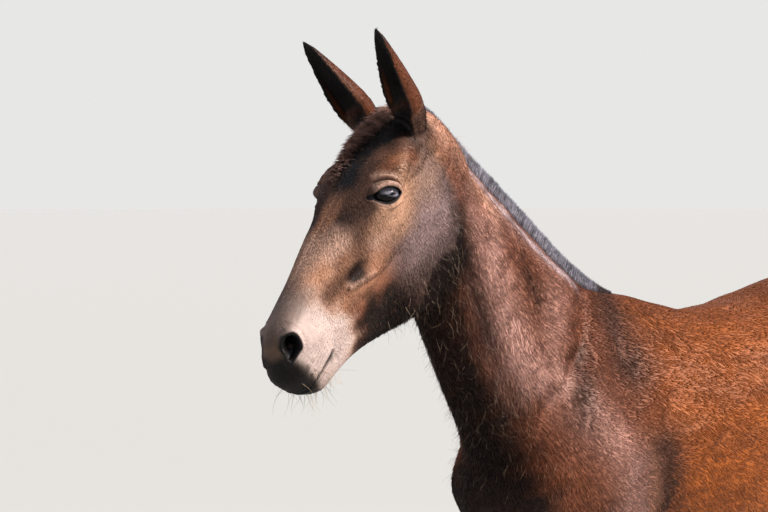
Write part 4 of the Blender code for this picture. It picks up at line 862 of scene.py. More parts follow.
def streaked_material(name, streak_size, contrast, roughness, bump):
    """The stored markings with fine streaks and a fine bump."""
    material = bpy.data.materials.new(name)
    material.use_nodes = True
    nodes, links = material.node_tree.nodes, material.node_tree.links
    surface = nodes["Principled BSDF"]
    streaks = nodes.new("ShaderNodeGroup")
    streaks.node_tree = fine_hair
    streaks.inputs["Streak size"].default_value = streak_size
    streaks.inputs["Contrast"].default_value = contrast
    raised = nodes.new("ShaderNodeBump")
    raised.inputs["Strength"].default_value = bump
    raised.inputs["Distance"].default_value = 0.001
    links.new(streaks.outputs["Colour"], surface.inputs["Base Color"])
    links.new(streaks.outputs["Height"], raised.inputs["Height"])
    links.new(raised.outputs["Normal"], surface.inputs["Normal"])
    surface.inputs["Roughness"].default_value = roughness
    return material


def hair_material(name, streak_size, contrast, roughness, bump, sheen):
    """Hair or hide: little gloss and a soft sheen over the streaked markings."""
    material = streaked_material(name, streak_size, contrast, roughness, bump)
    surface = material.node_tree.nodes["Principled BSDF"]
    surface.inputs["Specular IOR Level"].default_value = 0.15
    surface.inputs["Sheen Weight"].default_value = sheen
    surface.inputs["Sheen Roughness"].default_value = 0.4
    return material


def finish_piece(piece, material, slot_name, *nodes):
    """Gives the piece its material and its body, and hides the solids it stands for. The slot name is not
    used.
    """
    piece.data.materials.clear()
    piece.data.materials.append(material)
    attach(piece, "root")
    if nodes:
        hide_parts(*nodes)


finish_piece(skin, hair_material("short_haired_hide", 420, 0.3, 0.50, 0.4, 0.02), "coat", *FLESH)

# The eyes are dark brown, wet and nearly all pupil. Each sits deep behind its lids, a ball with a
# slightly fuller cornea, and carries a painted reflection of the sky, a pale arc under its upper lid.
EYE_BROWN, EYE_BLACK = paint(20, 13, 10), paint(5, 4, 5)
EYE_SKY_REFLECTION, EYE_WHITE = paint(138, 134, 146), paint(24, 19, 18)
CORNEA_RADIUS, CORNEA_BULGE, IRIS_RADIUS = 0.0165, 0.0008, 0.0172
PUPIL_HALF_LENGTH, PUPIL_HALF_HEIGHT = 0.0105, 0.0055
eye_material = bpy.data.materials.new("wet_eye")
eye_material.use_nodes = True
eye_surface = eye_material.node_tree.nodes["Principled BSDF"]
eye_nodes, eye_links = eye_material.node_tree.nodes, eye_material.node_tree.links
eye_colour = eye_nodes.new("ShaderNodeAttribute")
eye_colour.attribute_name = "markings"
eye_links.new(eye_colour.outputs["Color"], eye_surface.inputs["Base Color"])
eye_surface.inputs["Roughness"].default_value = 0.04
eye_surface.inputs["Specular IOR Level"].default_value = 0.12
eye_surface.inputs["Coat Weight"].default_value = 0.05
eye_surface.inputs["Coat Roughness"].default_value = 0.02
for name, place in zip(("left", "right"), eye_places):
    bpy.ops.mesh.primitive_uv_sphere_add(segments=72, ring_count=48, radius=EYE_RADIUS - 0.0002,
                                         location=place.translation)
    eye = bpy.context.object
    eye.name = f"wet_eye_{name}"
    bpy.ops.object.transform_apply(location=True, rotation=True, scale=True)
    points = points_of(eye.data)
    seen = in_eye(points, place)
    from_axis = np.hypot(seen[:, 0], seen[:, 2])
    ahead = seen[:, 1] > 0
    bulge = CORNEA_BULGE * ramp(from_axis, CORNEA_RADIUS, 0.004) * ahead
    move_points(eye.data, points + bulge[:, None] * np.array(place.to_3x3().col[1]))
    level = np.array(place.to_3x3()).T @ np.array((0, 0, 1))
    high = seen @ level
    long = np.sqrt(np.clip(from_axis**2 - high**2, 0, 1))
    pupil = ramp(np.hypot(long / PUPIL_HALF_LENGTH, high / PUPIL_HALF_HEIGHT), 1.15, 0.85) * ahead
    colours = mix(plain(EYE_WHITE, len(points)), EYE_BROWN, ramp(from_axis, 0.0185, 0.0165) * ahead)
    colours = mix(colours, EYE_BLACK, np.maximum(pupil, bell(from_axis - IRIS_RADIUS, 0.0012)))
    # a painted reflection of the sky in an arc under the upper lid
    under_lid = slit_distance(seen)
    arc = ramp(under_lid, -0.0125, -0.0085) * ramp(under_lid, -0.0008, -0.0022)
    arc = arc * ramp(seen[:, 2] - 0.3 * seen[:, 0], -0.001, 0.004) * ahead
    cloudy = 0.8 + 0.3 * drift(points, 0.0025, 9)
    colours = mix(colours, EYE_SKY_REFLECTION, arc * ramp(seen[:, 0], 0.022, 0.010) * cloudy)
    wear_colours(eye.data, colours)
    bpy.ops.object.shade_smooth()
    finish_piece(eye, eye_material, "eye", f"eye_{name}")

# The coat is short and lies close: each tuft is a thin blade of a few hairs that cling together, rooted
# in the hide and laid along it. They are smallest on muzzle and feet, longest at throat, belly and heels.
TUFT_LIFT, TUFT_LIFT_SPREAD, SHAGGY_LIFT = math.radians(2.8), math.radians(1.2), math.radians(20)
LIE_SWIRL, LIE_SPREAD = math.radians(16), math.radians(9)
NECK_LIE, TRUNK_LIE = np.array((-0.56, 0, -1.08)), np.array((-0.90, 0, -0.45))
LEG_LIE = np.array((-0.15, 0, -1.0))
WHORL = 0.185  # how far down the forehead from the poll its hair parts
TUFT_SLIMNESS = 0.085  # a tuft's width as a share of its length
TUFT_ROLL = 0.09
TUFT_SHADES = 0.06  # how much the tufts differ in lightness
FADED_SHARE = 0.08  # how many of the tufts are paler than the rest
BAKE_PATCH = 0.003  # how much of the bake map a tuft or hair takes
COAT_PIECE_TUFTS = 49000  # the most in one piece
TUFTS_PER_SQUARE_METRE = {
    "brow_and_cheek": 150000, "nose": 150000, "ears": 130000, "neck": 105000, "shoulder": 100000,
    "barrel_front": 80000, "barrel_back": 62000, "rump": 48000, "legs": 44000,
}
NOSE_STARTS = 0.26  # from the poll along the nose
NECK_STARTS, SHOULDER_ENDS, BARREL_MIDDLE, RUMP_STARTS = 0.33, 0.05, -0.22, -0.52  # where the coat is parted

hide_middles = hide_points[hide_corners].mean(axis=1)
hide_edges = hide_points[hide_corners[:, 1:]] - hide_points[hide_corners[:, :1]]
hide_areas = np.linalg.norm(np.cross(hide_edges[:, 0], hide_edges[:, 1]), axis=1) / 2


def unit(ways):
    return ways / (np.linalg.norm(ways, axis=-1, keepdims=True) + 1e-9)


def shaggy(points):
    """1 where the coat is long and stands out a little: throat, jaw, front of the neck, belly and heels."""
    at = in_head(points)
    on_head = head_amount(points)
    jaw = on_head * ramp(at[:, 2], -0.165, -0.215) * ramp(at[:, 0], 0.46, 0.34)
    cheek_edge = on_head * ramp(at[:, 0], 0.06, 0.0) * ramp(at[:, 2], -0.07, -0.13)
    neck_front = 0.465 + 0.3375 * (points[:, 2] - 1.02)
    throat = ramp(points[:, 0], neck_front - 0.15, neck_front - 0.05) * ramp(points[:, 2], 0.98, 1.08)
    throat = throat * (1 - on_head)
    belly = ramp(points[:, 2], 0.90, 0.83) * ramp(points[:, 2], 0.74, 0.80)
    heels = ramp(np.abs(points[:, 2] - 0.20), 0.07, 0.03) * 0.6
    return np.clip(jaw + cheek_edge + throat + belly + heels, 0, 1)


def hair_length(points):
    """How long a tuft is at each place on the hide."""
    at = in_head(points)
    on_head = head_amount(points)
    long = 0.0155 - 0.0020 * ramp(points[:, 0], 0.1, 0.35)
    long = long + (0.0095 - long) * leg_amount(points)
    face = 0.0086 - 0.0050 * ramp(at[:, 0], 0.42, 0.56)
    near_lids = np.minimum(*[eye_distance(points, place) for place in eye_places])
    face = face - 0.0040 * ramp(near_lids, 0.060, 0.042) * ramp(at[:, 0], 0.5, 0.4)
    face = face + (0.0064 - face) * ear_amount(points)
    long = long + (face - long) * on_head
    return long + shaggy(points) * (0.0200 - 0.006 * on_head - long) * 0.8


def lie_of_hair(points, normals, draw):
    """The way the hair lies at each point, along the hide, with soft swirls and a little disorder."""
    at = in_head(points)
    side = np.sign(at[:, 1])[:, None]
    nose, left, out = head_axes.T
    parted = (at[:, :1] - WHORL + 0.012 * drift(points, 0.02, 12)[:, None]) / 0.025
    front = np.clip(parted, -1, 1) * nose + 0.35 * side * left
    cheek = 0.50 * nose - 0.90 * out
    face = cheek + (front - cheek) * ramp(normals @ out, 0.15, 0.75)[:, None]
    ears = np.where(side > 0, *[np.array(ear.to_3x3().col[2]) for ear in ear_frames])
    on_trunk = ramp(points[:, 0] - 0.3 * (points[:, 2] - 1.2), 0.42, 0.20)
    way = NECK_LIE + (TRUNK_LIE - NECK_LIE) * on_trunk[:, None]
    way = way + (LEG_LIE - way) * leg_amount(points)[:, None]
    way = way + (face - way) * head_amount(points)[:, None]
    way = way + (ears - way) * ear_amount(points)[:, None]
    way = unit(way - normals * (way * normals).sum(axis=1)[:, None])
    turn = (LIE_SWIRL * drift(points, 0.09, 11) + LIE_SPREAD * draw.normal(size=len(points)))[:, None]
    return way * np.cos(turn) + np.cross(normals, way) * np.sin(turn)


def sow(weight, count, draw):
    """Even random places on the hide, more of them where the weight is larger."""
    room = np.cumsum(hide_areas * weight)
    picked = np.searchsorted(room, (np.arange(count) + draw.random(count)) / count * room[-1])
    picked = np.minimum(picked, len(room) - 1)
    a, b = np.sqrt(draw.random(count)), draw.random(count)
    shares = np.column_stack([1 - a, a * (1 - b), a * b])[:, :, None]
    corners = hide_corners[picked]
    roots = (hide_points[corners] * shares).sum(axis=1)
    normals = unit((hide_normals[corners] * shares).sum(axis=1))
    return roots, normals, (hide_uv[picked] * shares).sum(axis=1)


def hair_mesh(name, points, triangles, colours, patches):
    """An object made of closed hairs or tufts, with its markings and its bake map."""
    mesh = bpy.data.meshes.new(name)
    mesh.vertices.add(len(points))
    mesh.vertices.foreach_set("co", points.astype(np.float32).ravel())
    mesh.loops.add(triangles.size)
    mesh.loops.foreach_set("vertex_index", triangles.astype(np.int32).ravel())
    mesh.polygons.add(len(triangles))
    mesh.polygons.foreach_set("loop_start", np.arange(0, triangles.size, 3, dtype=np.int32))
    mesh.update(calc_edges=True)
    bake_map = mesh.uv_layers.new(name="OFBake")
    bake_map.data.foreach_set("uv", patches[triangles.ravel()].astype(np.float32).ravel())
    wear_colours(mesh, colours)
    piece = bpy.data.objects.new(name, mesh)
    bpy.context.collection.objects.link(piece)
    return piece


def tufts(name, weight, count, seed):
    """A piece of the coat: closed blades of four triangles, rooted where the weight says."""
    draw = np.random.default_rng(seed)
    roots, normals, root_uv = sow(weight, count, draw)
    way = lie_of_hair(roots, normals, draw)
    roll = draw.normal(0, TUFT_ROLL, count)[:, None]
    across = np.cross(normals, way) * np.cos(roll) + normals * np.sin(roll)
    wild = shaggy(roots)
    long = (hair_length(roots) * draw.uniform(0.65, 1.25, count))[:, None]
    wide = long * TUFT_SLIMNESS * draw.uniform(0.7, 1.3, count)[:, None] * (1 - 0.4 * wild[:, None])
    rise = TUFT_LIFT + SHAGGY_LIFT * wild * draw.random(count) + TUFT_LIFT_SPREAD * draw.normal(size=count)
    rise *= 1 - 0.4 * head_amount(roots) * (1 - wild)
    rise = np.clip(rise, math.radians(1.5), 1)[:, None]
    above = roots + normals * 0.0002
    points = np.stack([
        above + across * wide / 2,
        above - across * wide / 2,
        above + way * long * np.cos(rise) + normals * long * np.sin(rise),
        roots - normals * 0.0010 + way * long * 0.15,
    ], axis=1)
    colours = markings(roots, normals)
    shade = 1 + TUFT_SHADES * draw.normal(size=count)
    faded = (draw.random(count) < FADED_SHARE) * draw.uniform(0.1, 0.25, count)
    colours = mix(colours, TAN, faded * (1 - in_ear_cup(roots, normals))) * np.clip(shade, 0.6, 1.5)[:, None]
    # painted shade at the foot of each tuft
    along = np.array((0.96, 0.96, 1.04, 0.85))[None, :, None]  # the foot of a tuft is darker, its tip paler
    around = BAKE_PATCH / 2 * np.array(((-1, 0), (1, 0), (0, 1), (0, -1)))
    triangles = np.array(((1, 2, 0), (0, 2, 3), (1, 3, 2), (0, 3, 1)))
    triangles = (4 * np.arange(count)[:, None, None] + triangles[None]).reshape(-1, 3)
    return hair_mesh(name, points.reshape(-1, 3), triangles, (colours[:, None, :] * along).reshape(-1, 3),
                     (root_uv[:, None, :] + around[None]).reshape(-1, 2))


coat_material = hair_material("short_coat", 500, 0.25, 0.50, 0.1, 0.02)
hide_at = in_head(hide_middles)
hide_head, hide_ears = head_amount(hide_middles), ear_amount(hide_middles)
hide_legs = leg_amount(hide_middles)
bare_nostrils = ramp(nostril_distance(hide_at), 1.5, 1.1) * ramp(hide_at[:, 0], 0.54, 0.57)
bare_lips = bell(mouth_height(hide_at), 0.006) * ramp(hide_at[:, 0], MOUTH_CORNER - 0.01, MOUTH_CORNER)
bare_skin = hide_head * np.maximum(bare_nostrils, bare_lips)
for place in eye_places:
    seen = in_eye(hide_middles, place)
    bare_lids = np.maximum(ramp(slit_distance(seen), 0.006, 0.002), canthus_amount(seen))
    bare_skin = np.maximum(bare_skin, (np.linalg.norm(seen, axis=1) < 0.05) * bare_lids)
trunk = (1 - hide_legs) * (1 - hide_head)
along = hide_middles[:, 0] + 0.03 * drift(hide_middles, 0.05, 21)
face = hide_head * (1 - hide_ears) * (1 - bare_skin)
nose_side = hide_at[:, 0] + 0.02 * drift(hide_middles, 0.03, 22) > NOSE_STARTS
regions = {
    "brow_and_cheek": face * (1 - nose_side),
    "nose": face * nose_side,
    "ears": hide_ears * hide_head,
    "neck": trunk * (along > NECK_STARTS),
    "shoulder": trunk * (along <= NECK_STARTS) * (along > SHOULDER_ENDS),
    "barrel_front": trunk * (along <= SHOULDER_ENDS) * (along > BARREL_MIDDLE),
    "barrel_back": trunk * (along <= BARREL_MIDDLE) * (along > RUMP_STARTS),
    "rump": trunk * (along <= RUMP_STARTS),
    "legs": hide_legs,
}
for seed, (region, weight) in enumerate(regions.items()):
    count = min(COAT_PIECE_TUFTS, int((hide_areas * weight).sum() * TUFTS_PER_SQUARE_METRE[region]))
    piece = tufts(f"coat_{region}", weight, count, 100 + seed)
    finish_piece(piece, coat_material, "leg_coat" if region == "legs" else "coat")

# The mane is clipped: stiff hair stands up from the crest, about two and a half centimetres high, dark
# at its foot and grey at its even upper edge, from between the ears to the short last hairs past the withers.
MANE_HEIGHT, MANE_HALF_THICKNESS, MANE_LEAN = 0.0245, 0.0125, math.radians(10)
MANE_HAIRS = 13500
MANE_DARK, MANE_GREY, MANE_FOOT = paint(40, 37, 42), paint(146, 141, 156), paint(206, 198, 212)
MANE_RUN_OUT = 0.055  # how far the last short hairs run on over the withers
CREST_PLACES, CREST_ROUNDS = 66, 30  # where the crest is felt for, and how often that line is smoothed
ABOVE_ALL = 2.4  # a height over the whole animal


def strands(name, paths, widths, colours, root_uv):
    """Closed hairs of three sides that follow their paths, each as wide as given at each of its points."""
    count, rings = paths.shape[:2]
    ways = unit(np.gradient(paths, axis=1))
    helper = np.where(np.abs(ways[:, :1, 2:]) < 0.8, np.array((0.0, 0.0, 1.0)), np.array((0.0, 1.0, 0.0)))
    first = unit(np.cross(ways, np.repeat(helper, rings, axis=1)))
    second = np.cross(ways, first)
    corners = []
    for turn in (0, 2 * math.pi / 3, 4 * math.pi / 3):
        corners.append(paths + (first * math.cos(turn) + second * math.sin(turn)) * widths[:, :, None] / 2)
    points = np.stack(corners, axis=2)
    triangles = []
    for ring in range(rings - 1):
        for k in range(3):
            a, b = 3 * ring + k, 3 * ring + (k + 1) % 3
            triangles += [(a, b, a + 3), (b, b + 3, a + 3)]
    last = 3 * (rings - 1)
    triangles += [(0, 2, 1), (last, last + 1, last + 2)]
    triangles = (3 * rings * np.arange(count)[:, None, None] + np.array(triangles)[None]).reshape(-1, 3)
    around = BAKE_PATCH / 2 * np.array(((-1, -0.6), (1, -0.6), (0, 1)))
    patches = np.repeat(root_uv[:, None, None, :] + around[None, None], rings, axis=1)
    return hair_mesh(name, points.reshape(-1, 3), triangles, np.repeat(colours, 3, axis=1).reshape(-1, 3),
                     patches.reshape(-1, 2))


hide_tree = BVHTree.FromPolygons(hide_points.tolist(), hide_corners.tolist())


def on_hide(points):
    """The nearest place on the hide to each point, with its normal and its place on the unwrap."""
    places, normals, flat = np.empty_like(points), np.empty_like(points), np.empty((len(points), 2))
    for row, point in enumerate(points):
        spot, normal, face, _ = hide_tree.find_nearest(Vector(point))
        places[row], normals[row], flat[row] = spot, normal, hide_uv[face].mean(axis=0)
    return places, normals, flat


mane_low, mane_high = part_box("mane")
crest = []
straight_down = Vector((0, 0, -1))
for x in np.linspace(mane_low.x - MANE_RUN_OUT, mane_high.x - 0.004, CREST_PLACES):
    above = [Vector((x, y, ABOVE_ALL)) for y in np.linspace(-0.02, 0.02, 9)]
    tops = [hide_tree.ray_cast(spot, straight_down)[0] for spot in above]
    crest.append(max(tops, key=lambda spot: spot.z))
crest = np.array(crest)
for _ in range(CREST_ROUNDS):
    crest[1:-1] = (crest[:-2] + 2 * crest[1:-1] + crest[2:]) / 4
crest_way = unit(np.gradient(crest, axis=0))
crest_up = unit(np.cross(crest_way, np.array((0.0, 1.0, 0.0))))
crest_up *= np.sign(crest_up[:, 2:])
draw = np.random.default_rng(31)
share = np.sort(draw.random(MANE_HAIRS))
steps = share * (len(crest) - 1)
low_step = np.minimum(steps.astype(int), len(crest) - 2)
between = (steps - low_step)[:, None]
base, up, way = [
    row[low_step] * (1 - between) + row[low_step + 1] * between for row in (crest, crest_up, crest_way)
]
offset = draw.uniform(-1, 1, MANE_HAIRS) * MANE_HALF_THICKNESS
leftward = np.array((0, 1, 0))
roots, _, root_uv = on_hide(base + leftward * offset[:, None] - up * (offset[:, None] ** 2) / 0.03)
height = MANE_HEIGHT * ramp(share, -0.03, 0.20) * ramp(share, 1.0, 0.985) + 0.003
height = height * (1 + 0.05 * drift(base, 0.05, 32)) + 0.0012 * draw.normal(size=MANE_HAIRS)
outermost = np.abs(offset) > 0.8 * MANE_HALF_THICKNESS
height = np.where(outermost, height * draw.uniform(0.1, 0.75, MANE_HAIRS), height)
lean = math.tan(MANE_LEAN) + 0.10 * draw.normal(size=MANE_HAIRS)
tips = base + up * height[:, None] + way * (height * lean)[:, None]
tips += leftward * (offset * 0.85 + 0.0015 * draw.normal(size=MANE_HAIRS))[:, None]
paths = roots[:, None, :] + (tips - roots)[:, None, :] * np.array((-0.08, 0.55, 1.0))[None, :, None]
widths = np.array((1.0, 0.9, 0.5))[None] * draw.uniform(0.0006, 0.0010, MANE_HAIRS)[:, None]
grey_share = 0.45 + 0.2 * drift(tips, 0.02, 33) + 0.15 * draw.normal(size=MANE_HAIRS)
greyed = mix(plain(MANE_DARK, MANE_HAIRS), MANE_GREY, grey_share)
# the outer hairs at the mane's foot are pale, partly a painted highlight
outer = ramp(np.abs(offset), 0.70 * MANE_HALF_THICKNESS, 0.85 * MANE_HALF_THICKNESS)
greyed = mix(greyed, MANE_FOOT, outer * draw.uniform(0.2, 0.9, MANE_HAIRS))
greyed = mix(greyed, DEEP_BAY, ramp(share, 0.12, 0.05) * 0.8)
at_root = (0.6 + 0.5 * outer)[:, None]
colours = np.stack([greyed * at_root, greyed * 0.9, greyed], axis=1)
mane_material = hair_material("clipped_mane", 300, 0.4, 0.5, 0.1, 0.06)
finish_piece(strands("mane_hair", paths, widths, colours, root_uv), mane_material, "mane_hair", "mane")

# The forelock is clipped too: a brush of short hair between the ears that stands highest there and runs
# down to the right of the forehead's middle, thinning out, its tips reddish brown made paler by painted rim
# light.
FORELOCK_HAIRS = 4000
FORELOCK_BROWN_AND_RIM_LIGHT = paint(196, 154, 142)
FORELOCK_REACH, FORELOCK_SPREAD, FORELOCK_HALF_WIDTH = 0.23, 0.095, 0.011
FORELOCK_DRIFT = 0.20  # how far it runs to the right for each length down the forehead
SHORTEST_LOCK, LONGEST_LOCK, STUBBLE = 0.020, 0.032, 0.005
draw = np.random.default_rng(41)
x = np.abs(draw.normal(0, FORELOCK_SPREAD, FORELOCK_HAIRS))
x = np.where(x > FORELOCK_REACH, FORELOCK_REACH * draw.random(FORELOCK_HAIRS), x)
y = draw.normal(0, FORELOCK_HALF_WIDTH, FORELOCK_HAIRS) * np.interp(x, (0, 0.06, 0.20), (1.2, 1.1, 1.1))
beside = y - FORELOCK_DRIFT * x
seeds = np.column_stack([x, beside, np.full(FORELOCK_HAIRS, 0.03)]) @ head_axes.T + head_origin
roots, normals, root_uv = on_hide(seeds)
nose, left, out = head_axes.T
ahead = nose + left * (y * 16 + 0.25 * draw.normal(size=FORELOCK_HAIRS))[:, None]
ahead = unit(ahead - normals * (ahead * normals).sum(axis=1)[:, None])
long = draw.uniform(SHORTEST_LOCK, LONGEST_LOCK, FORELOCK_HAIRS)
long = long * np.interp(x, (0.04, 0.12, 0.17, FORELOCK_REACH), (1, 0.85, 0.55, 0.1))
long = (long * np.exp(-((y / 0.020) ** 2)) + STUBBLE)[:, None]
rise = draw.uniform(0.7, 1.2, FORELOCK_HAIRS)[:, None]
paths = np.stack([
    roots + ahead * long * t * (0.35 + 0.30 * t) + normals * long * (rise * t * (1.35 - 0.5 * t) + 0.02)
    for t in (-0.05, 0.35, 0.7, 1.0)
], axis=1)
widths = np.array((1.0, 1.0, 0.7, 0.2))[None] * draw.uniform(0.0008, 0.0014, FORELOCK_HAIRS)[:, None]
deep_share = 0.25 + 0.5 * drift(roots, 0.008, 42) + draw.uniform(-0.3, 0.3, FORELOCK_HAIRS)
shade = mix(plain(FORELOCK_BROWN_AND_RIM_LIGHT, FORELOCK_HAIRS), DEEP_BAY, deep_share)
colours = shade[:, None, :] * np.array((0.15, 0.45, 0.9, 1.1))[None, :, None]
forelock = strands("forelock_hair", paths, widths, colours, root_uv)
finish_piece(forelock, mane_material, "mane_hair", "forelock")

# The tail hangs from a fleshy dock under long coarse black hair, in strands that wave a little and thin
# out towards the end.
TAIL_STRANDS, TAIL_STEPS, TAIL_LEVELS = 1500, 9, 24
DOCK_SHARE = 0.42  # how far down the tail its hair still grows
TAIL_BLACK, TAIL_RUST = paint(26, 21, 20), paint(74, 48, 36)
tail_points = points_of(frame["nodes"]["tail"].data)
tail_low, tail_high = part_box("tail")
levels = np.linspace(tail_high.z - 0.012, tail_low.z + 0.012, TAIL_LEVELS)
slices = []
for level in levels:
    ring = tail_points[np.abs(tail_points[:, 2] - level) < 0.035]
    slices.append((*ring[:, :2].mean(axis=0), *((ring[:, :2].max(axis=0) - ring[:, :2].min(axis=0)) / 2)))
slices = np.array(slices)
draw = np.random.default_rng(51)
start = draw.random(TAIL_STRANDS) ** 1.3 * DOCK_SHARE
finish = np.clip(draw.normal(0.86, 0.12, TAIL_STRANDS), start + 0.3, 1.0)
angle, spread = draw.uniform(0, 2 * math.pi, TAIL_STRANDS), np.sqrt(draw.uniform(0.25, 1, TAIL_STRANDS))
spread *= np.where(start < 0.02, 0.9, 1)
phase = draw.uniform(0, 2 * math.pi, TAIL_STRANDS)
rows = []
for t in np.linspace(0, 1, TAIL_STEPS):
    down = start + (finish - start) * t
    middle = [np.interp(down, np.linspace(0, 1, TAIL_LEVELS), column) for column in slices.T]
    near = spread * (0.86 - 0.25 * t) * (1 + 0.05 * np.sin(9 * t + phase))
    turn = angle + 0.5 * t * np.sin(phase)
    rows.append(np.column_stack([
        middle[0] + np.cos(turn) * middle[2] * near,
        middle[1] + np.sin(turn) * middle[3] * near,
        levels[0] + (levels[-1] - levels[0]) * down,
    ]))
paths = np.stack(rows, axis=1)
widths = np.interp(np.linspace(0, 1, TAIL_STEPS), (0, 0.2, 0.7, 1), (0.7, 1.0, 0.8, 0.25))[None]
widths = widths * draw.uniform(0.0022, 0.0040, TAIL_STRANDS)[:, None]
rust_share = 0.25 + 0.35 * draw.normal(size=TAIL_STRANDS)
shade = mix(plain(TAIL_BLACK, TAIL_STRANDS), TAIL_RUST, rust_share)
colours = shade[:, None, :] * np.linspace(0.8, 1.2, TAIL_STEPS)[None, :, None]
root_uv = np.column_stack([0.02 + 0.9 * angle / (2 * math.pi), 0.02 + 0.9 * start / DOCK_SHARE])
tail_material = hair_material("long_tail_hair", 500, 0.3, 0.38, 0.1, 0.03)
finish_piece(strands("tail_hair", paths, widths, colours, root_uv), tail_material, "tail_hair", "tail")

# Under the tail's hair lies its core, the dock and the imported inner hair. It is one closed, tapering
# bundle and shows only between the strands.
CORE_SIDES = 20
core_rings = []
for level, (x, y, deep, wide) in zip(levels, slices):
    turn = np.arange(CORE_SIDES) * 2 * math.pi / CORE_SIDES
    slim = 0.62 * np.interp(level, (levels[-1], levels[-1] + 0.25), (0.15, 1))
    core_rings.append(np.column_stack([x + slim * deep * np.cos(turn), y + slim * wide * np.sin(turn),
                                       np.full(CORE_SIDES, level)]))
core = bmesh.new()
core_verts = [[core.verts.new(corner) for corner in ring] for ring in core_rings]
for upper, lower in zip(core_verts[:-1], core_verts[1:]):
    for k in range(CORE_SIDES):
        core.faces.new((upper[k], lower[k], lower[(k + 1) % CORE_SIDES], upper[(k + 1) % CORE_SIDES]))
core.faces.new(core_verts[0])
core.faces.new(core_verts[-1][::-1])
core_mesh = bpy.data.meshes.new("tail_core")
core.to_mesh(core_mesh)
core.free()
tail_core = bpy.data.objects.new("tail_core", core_mesh)
bpy.context.collection.objects.link(tail_core)
wear_colours(core_mesh, plain(TAIL_BLACK * 0.7, len(core_mesh.vertices)))
finish_piece(tail_core, tail_material, "tail_hair")

# Single long hairs stand out of the coat: whiskers round muzzle and chin, pale and dark guard hairs that
# curl at the throat and under the jaw, and the lashes of the upper lids.
PALE_HAIR = paint(204, 176, 150)
WHISKERS, GUARD_HAIRS, LASHES = 90, 2400, 46


def long_hairs(name, roots, normals, root_uv, ways, lengths, curls, thick, colours, steps=6):
    """Fine single hairs that leave the hide along their ways and curl over."""
    sideways = unit(np.cross(ways, normals + 0.01))
    rows = []
    for t in np.linspace(-0.04, 1, steps):
        bend = (curls * t * t)[:, None]
        curl = sideways * np.sin(bend * 2.2) - np.array((0, 0, 0.5)) * bend
        rows.append(roots + lengths[:, None] * t * (ways + curl * 0.5))
    paths = np.stack(rows, axis=1)
    widths = np.interp(np.linspace(0, 1, steps), (0, 0.5, 1), (1.0, 0.8, 0.3))[None] * thick[:, None]
    return strands(name, paths, widths, np.repeat(colours[:, None, :], steps, axis=1), root_uv)


def sow_hairs(weight, count, draw):
    roots, normals, root_uv = sow(weight, count, draw)
    return roots, normals, root_uv, lie_of_hair(roots, normals, draw)


single_hair_material = hair_material("single_hairs", 900, 0.2, 0.4, 0.1, 0.02)
draw = np.random.default_rng(61)
chin = hide_head * ramp(hide_at[:, 0], 0.54, 0.58) * ramp(mouth_height(hide_at), 0.004, -0.010)
above_lips = ramp(np.abs(mouth_height(hide_at) - 0.018), 0.016, 0.006)
lip_side = hide_head * ramp(hide_at[:, 0], 0.57, 0.60) * above_lips
roots, normals, root_uv, way = sow_hairs(chin + 0.6 * lip_side, WHISKERS, draw)
way = unit(normals + 0.35 * way + 0.45 * draw.normal(size=(WHISKERS, 3)))
colours = mix(plain(PALE_HAIR, WHISKERS), SOOT_AND_SHADE, (draw.random(WHISKERS) < 0.4) * 0.9)
lengths, curls = draw.uniform(0.018, 0.050, WHISKERS), draw.uniform(0.1, 0.6, WHISKERS)
thick = draw.uniform(0.0004, 0.0007, WHISKERS)
whiskers = long_hairs("whiskers", roots, normals, root_uv, way, lengths, curls, thick, colours)
finish_piece(whiskers, single_hair_material, "mane_hair")

draw = np.random.default_rng(62)
wild_places = shaggy(hide_middles) * (hide_middles[:, 2] > 1.0)
roots, normals, root_uv, way = sow_hairs(wild_places, GUARD_HAIRS, draw)
way = unit(0.8 * normals + way + 0.45 * draw.normal(size=(GUARD_HAIRS, 3)))
paler = (draw.random(GUARD_HAIRS) < 0.35) * draw.uniform(0.3, 0.8, GUARD_HAIRS)
colours = mix(markings(roots, normals), PALE_HAIR, paler)
lengths, curls = draw.uniform(0.014, 0.036, GUARD_HAIRS), draw.uniform(-1.2, 1.2, GUARD_HAIRS)
thick = draw.uniform(0.0003, 0.0005, GUARD_HAIRS)
guard_hairs = long_hairs("guard_hairs", roots, normals, root_uv, way, lengths, curls, thick, colours)
finish_piece(guard_hairs, single_hair_material, "coat")

for seed, (name, place) in enumerate(zip(("left", "right"), eye_places), start=70):
    draw = np.random.default_rng(seed)
    t = np.linspace(-0.85, 0.75, LASHES)
    turn, middle = turn_and_middle(place)
    rim = np.column_stack([LID_SHIFT + t * LID_HALF_LENGTH, np.zeros(LASHES),
                           LID_RISE + UPPER_LID_HEIGHT * (1 - t * t) ** LID_BOW + 0.0006])
    rim[:, 1] = np.sqrt(np.clip((EYE_RADIUS + 0.002) ** 2 - rim[:, 0] ** 2 - rim[:, 2] ** 2, 0, 1))
    roots, normals, root_uv = on_hide(rim @ turn.T + middle)
    way = unit(np.column_stack([0.45 * t, np.ones(LASHES), -0.10 + 0.18 * draw.normal(size=LASHES)]) @ turn.T)
    lengths, curls = draw.uniform(0.007, 0.013, LASHES), draw.uniform(-0.2, 0.4, LASHES)
    lashes = long_hairs(f"lashes_{name}", roots, normals, root_uv, way, lengths, curls,
                        np.full(LASHES, 0.0005), plain(SOOT_AND_SHADE, LASHES))
    finish_piece(lashes, single_hair_material, "mane_hair")

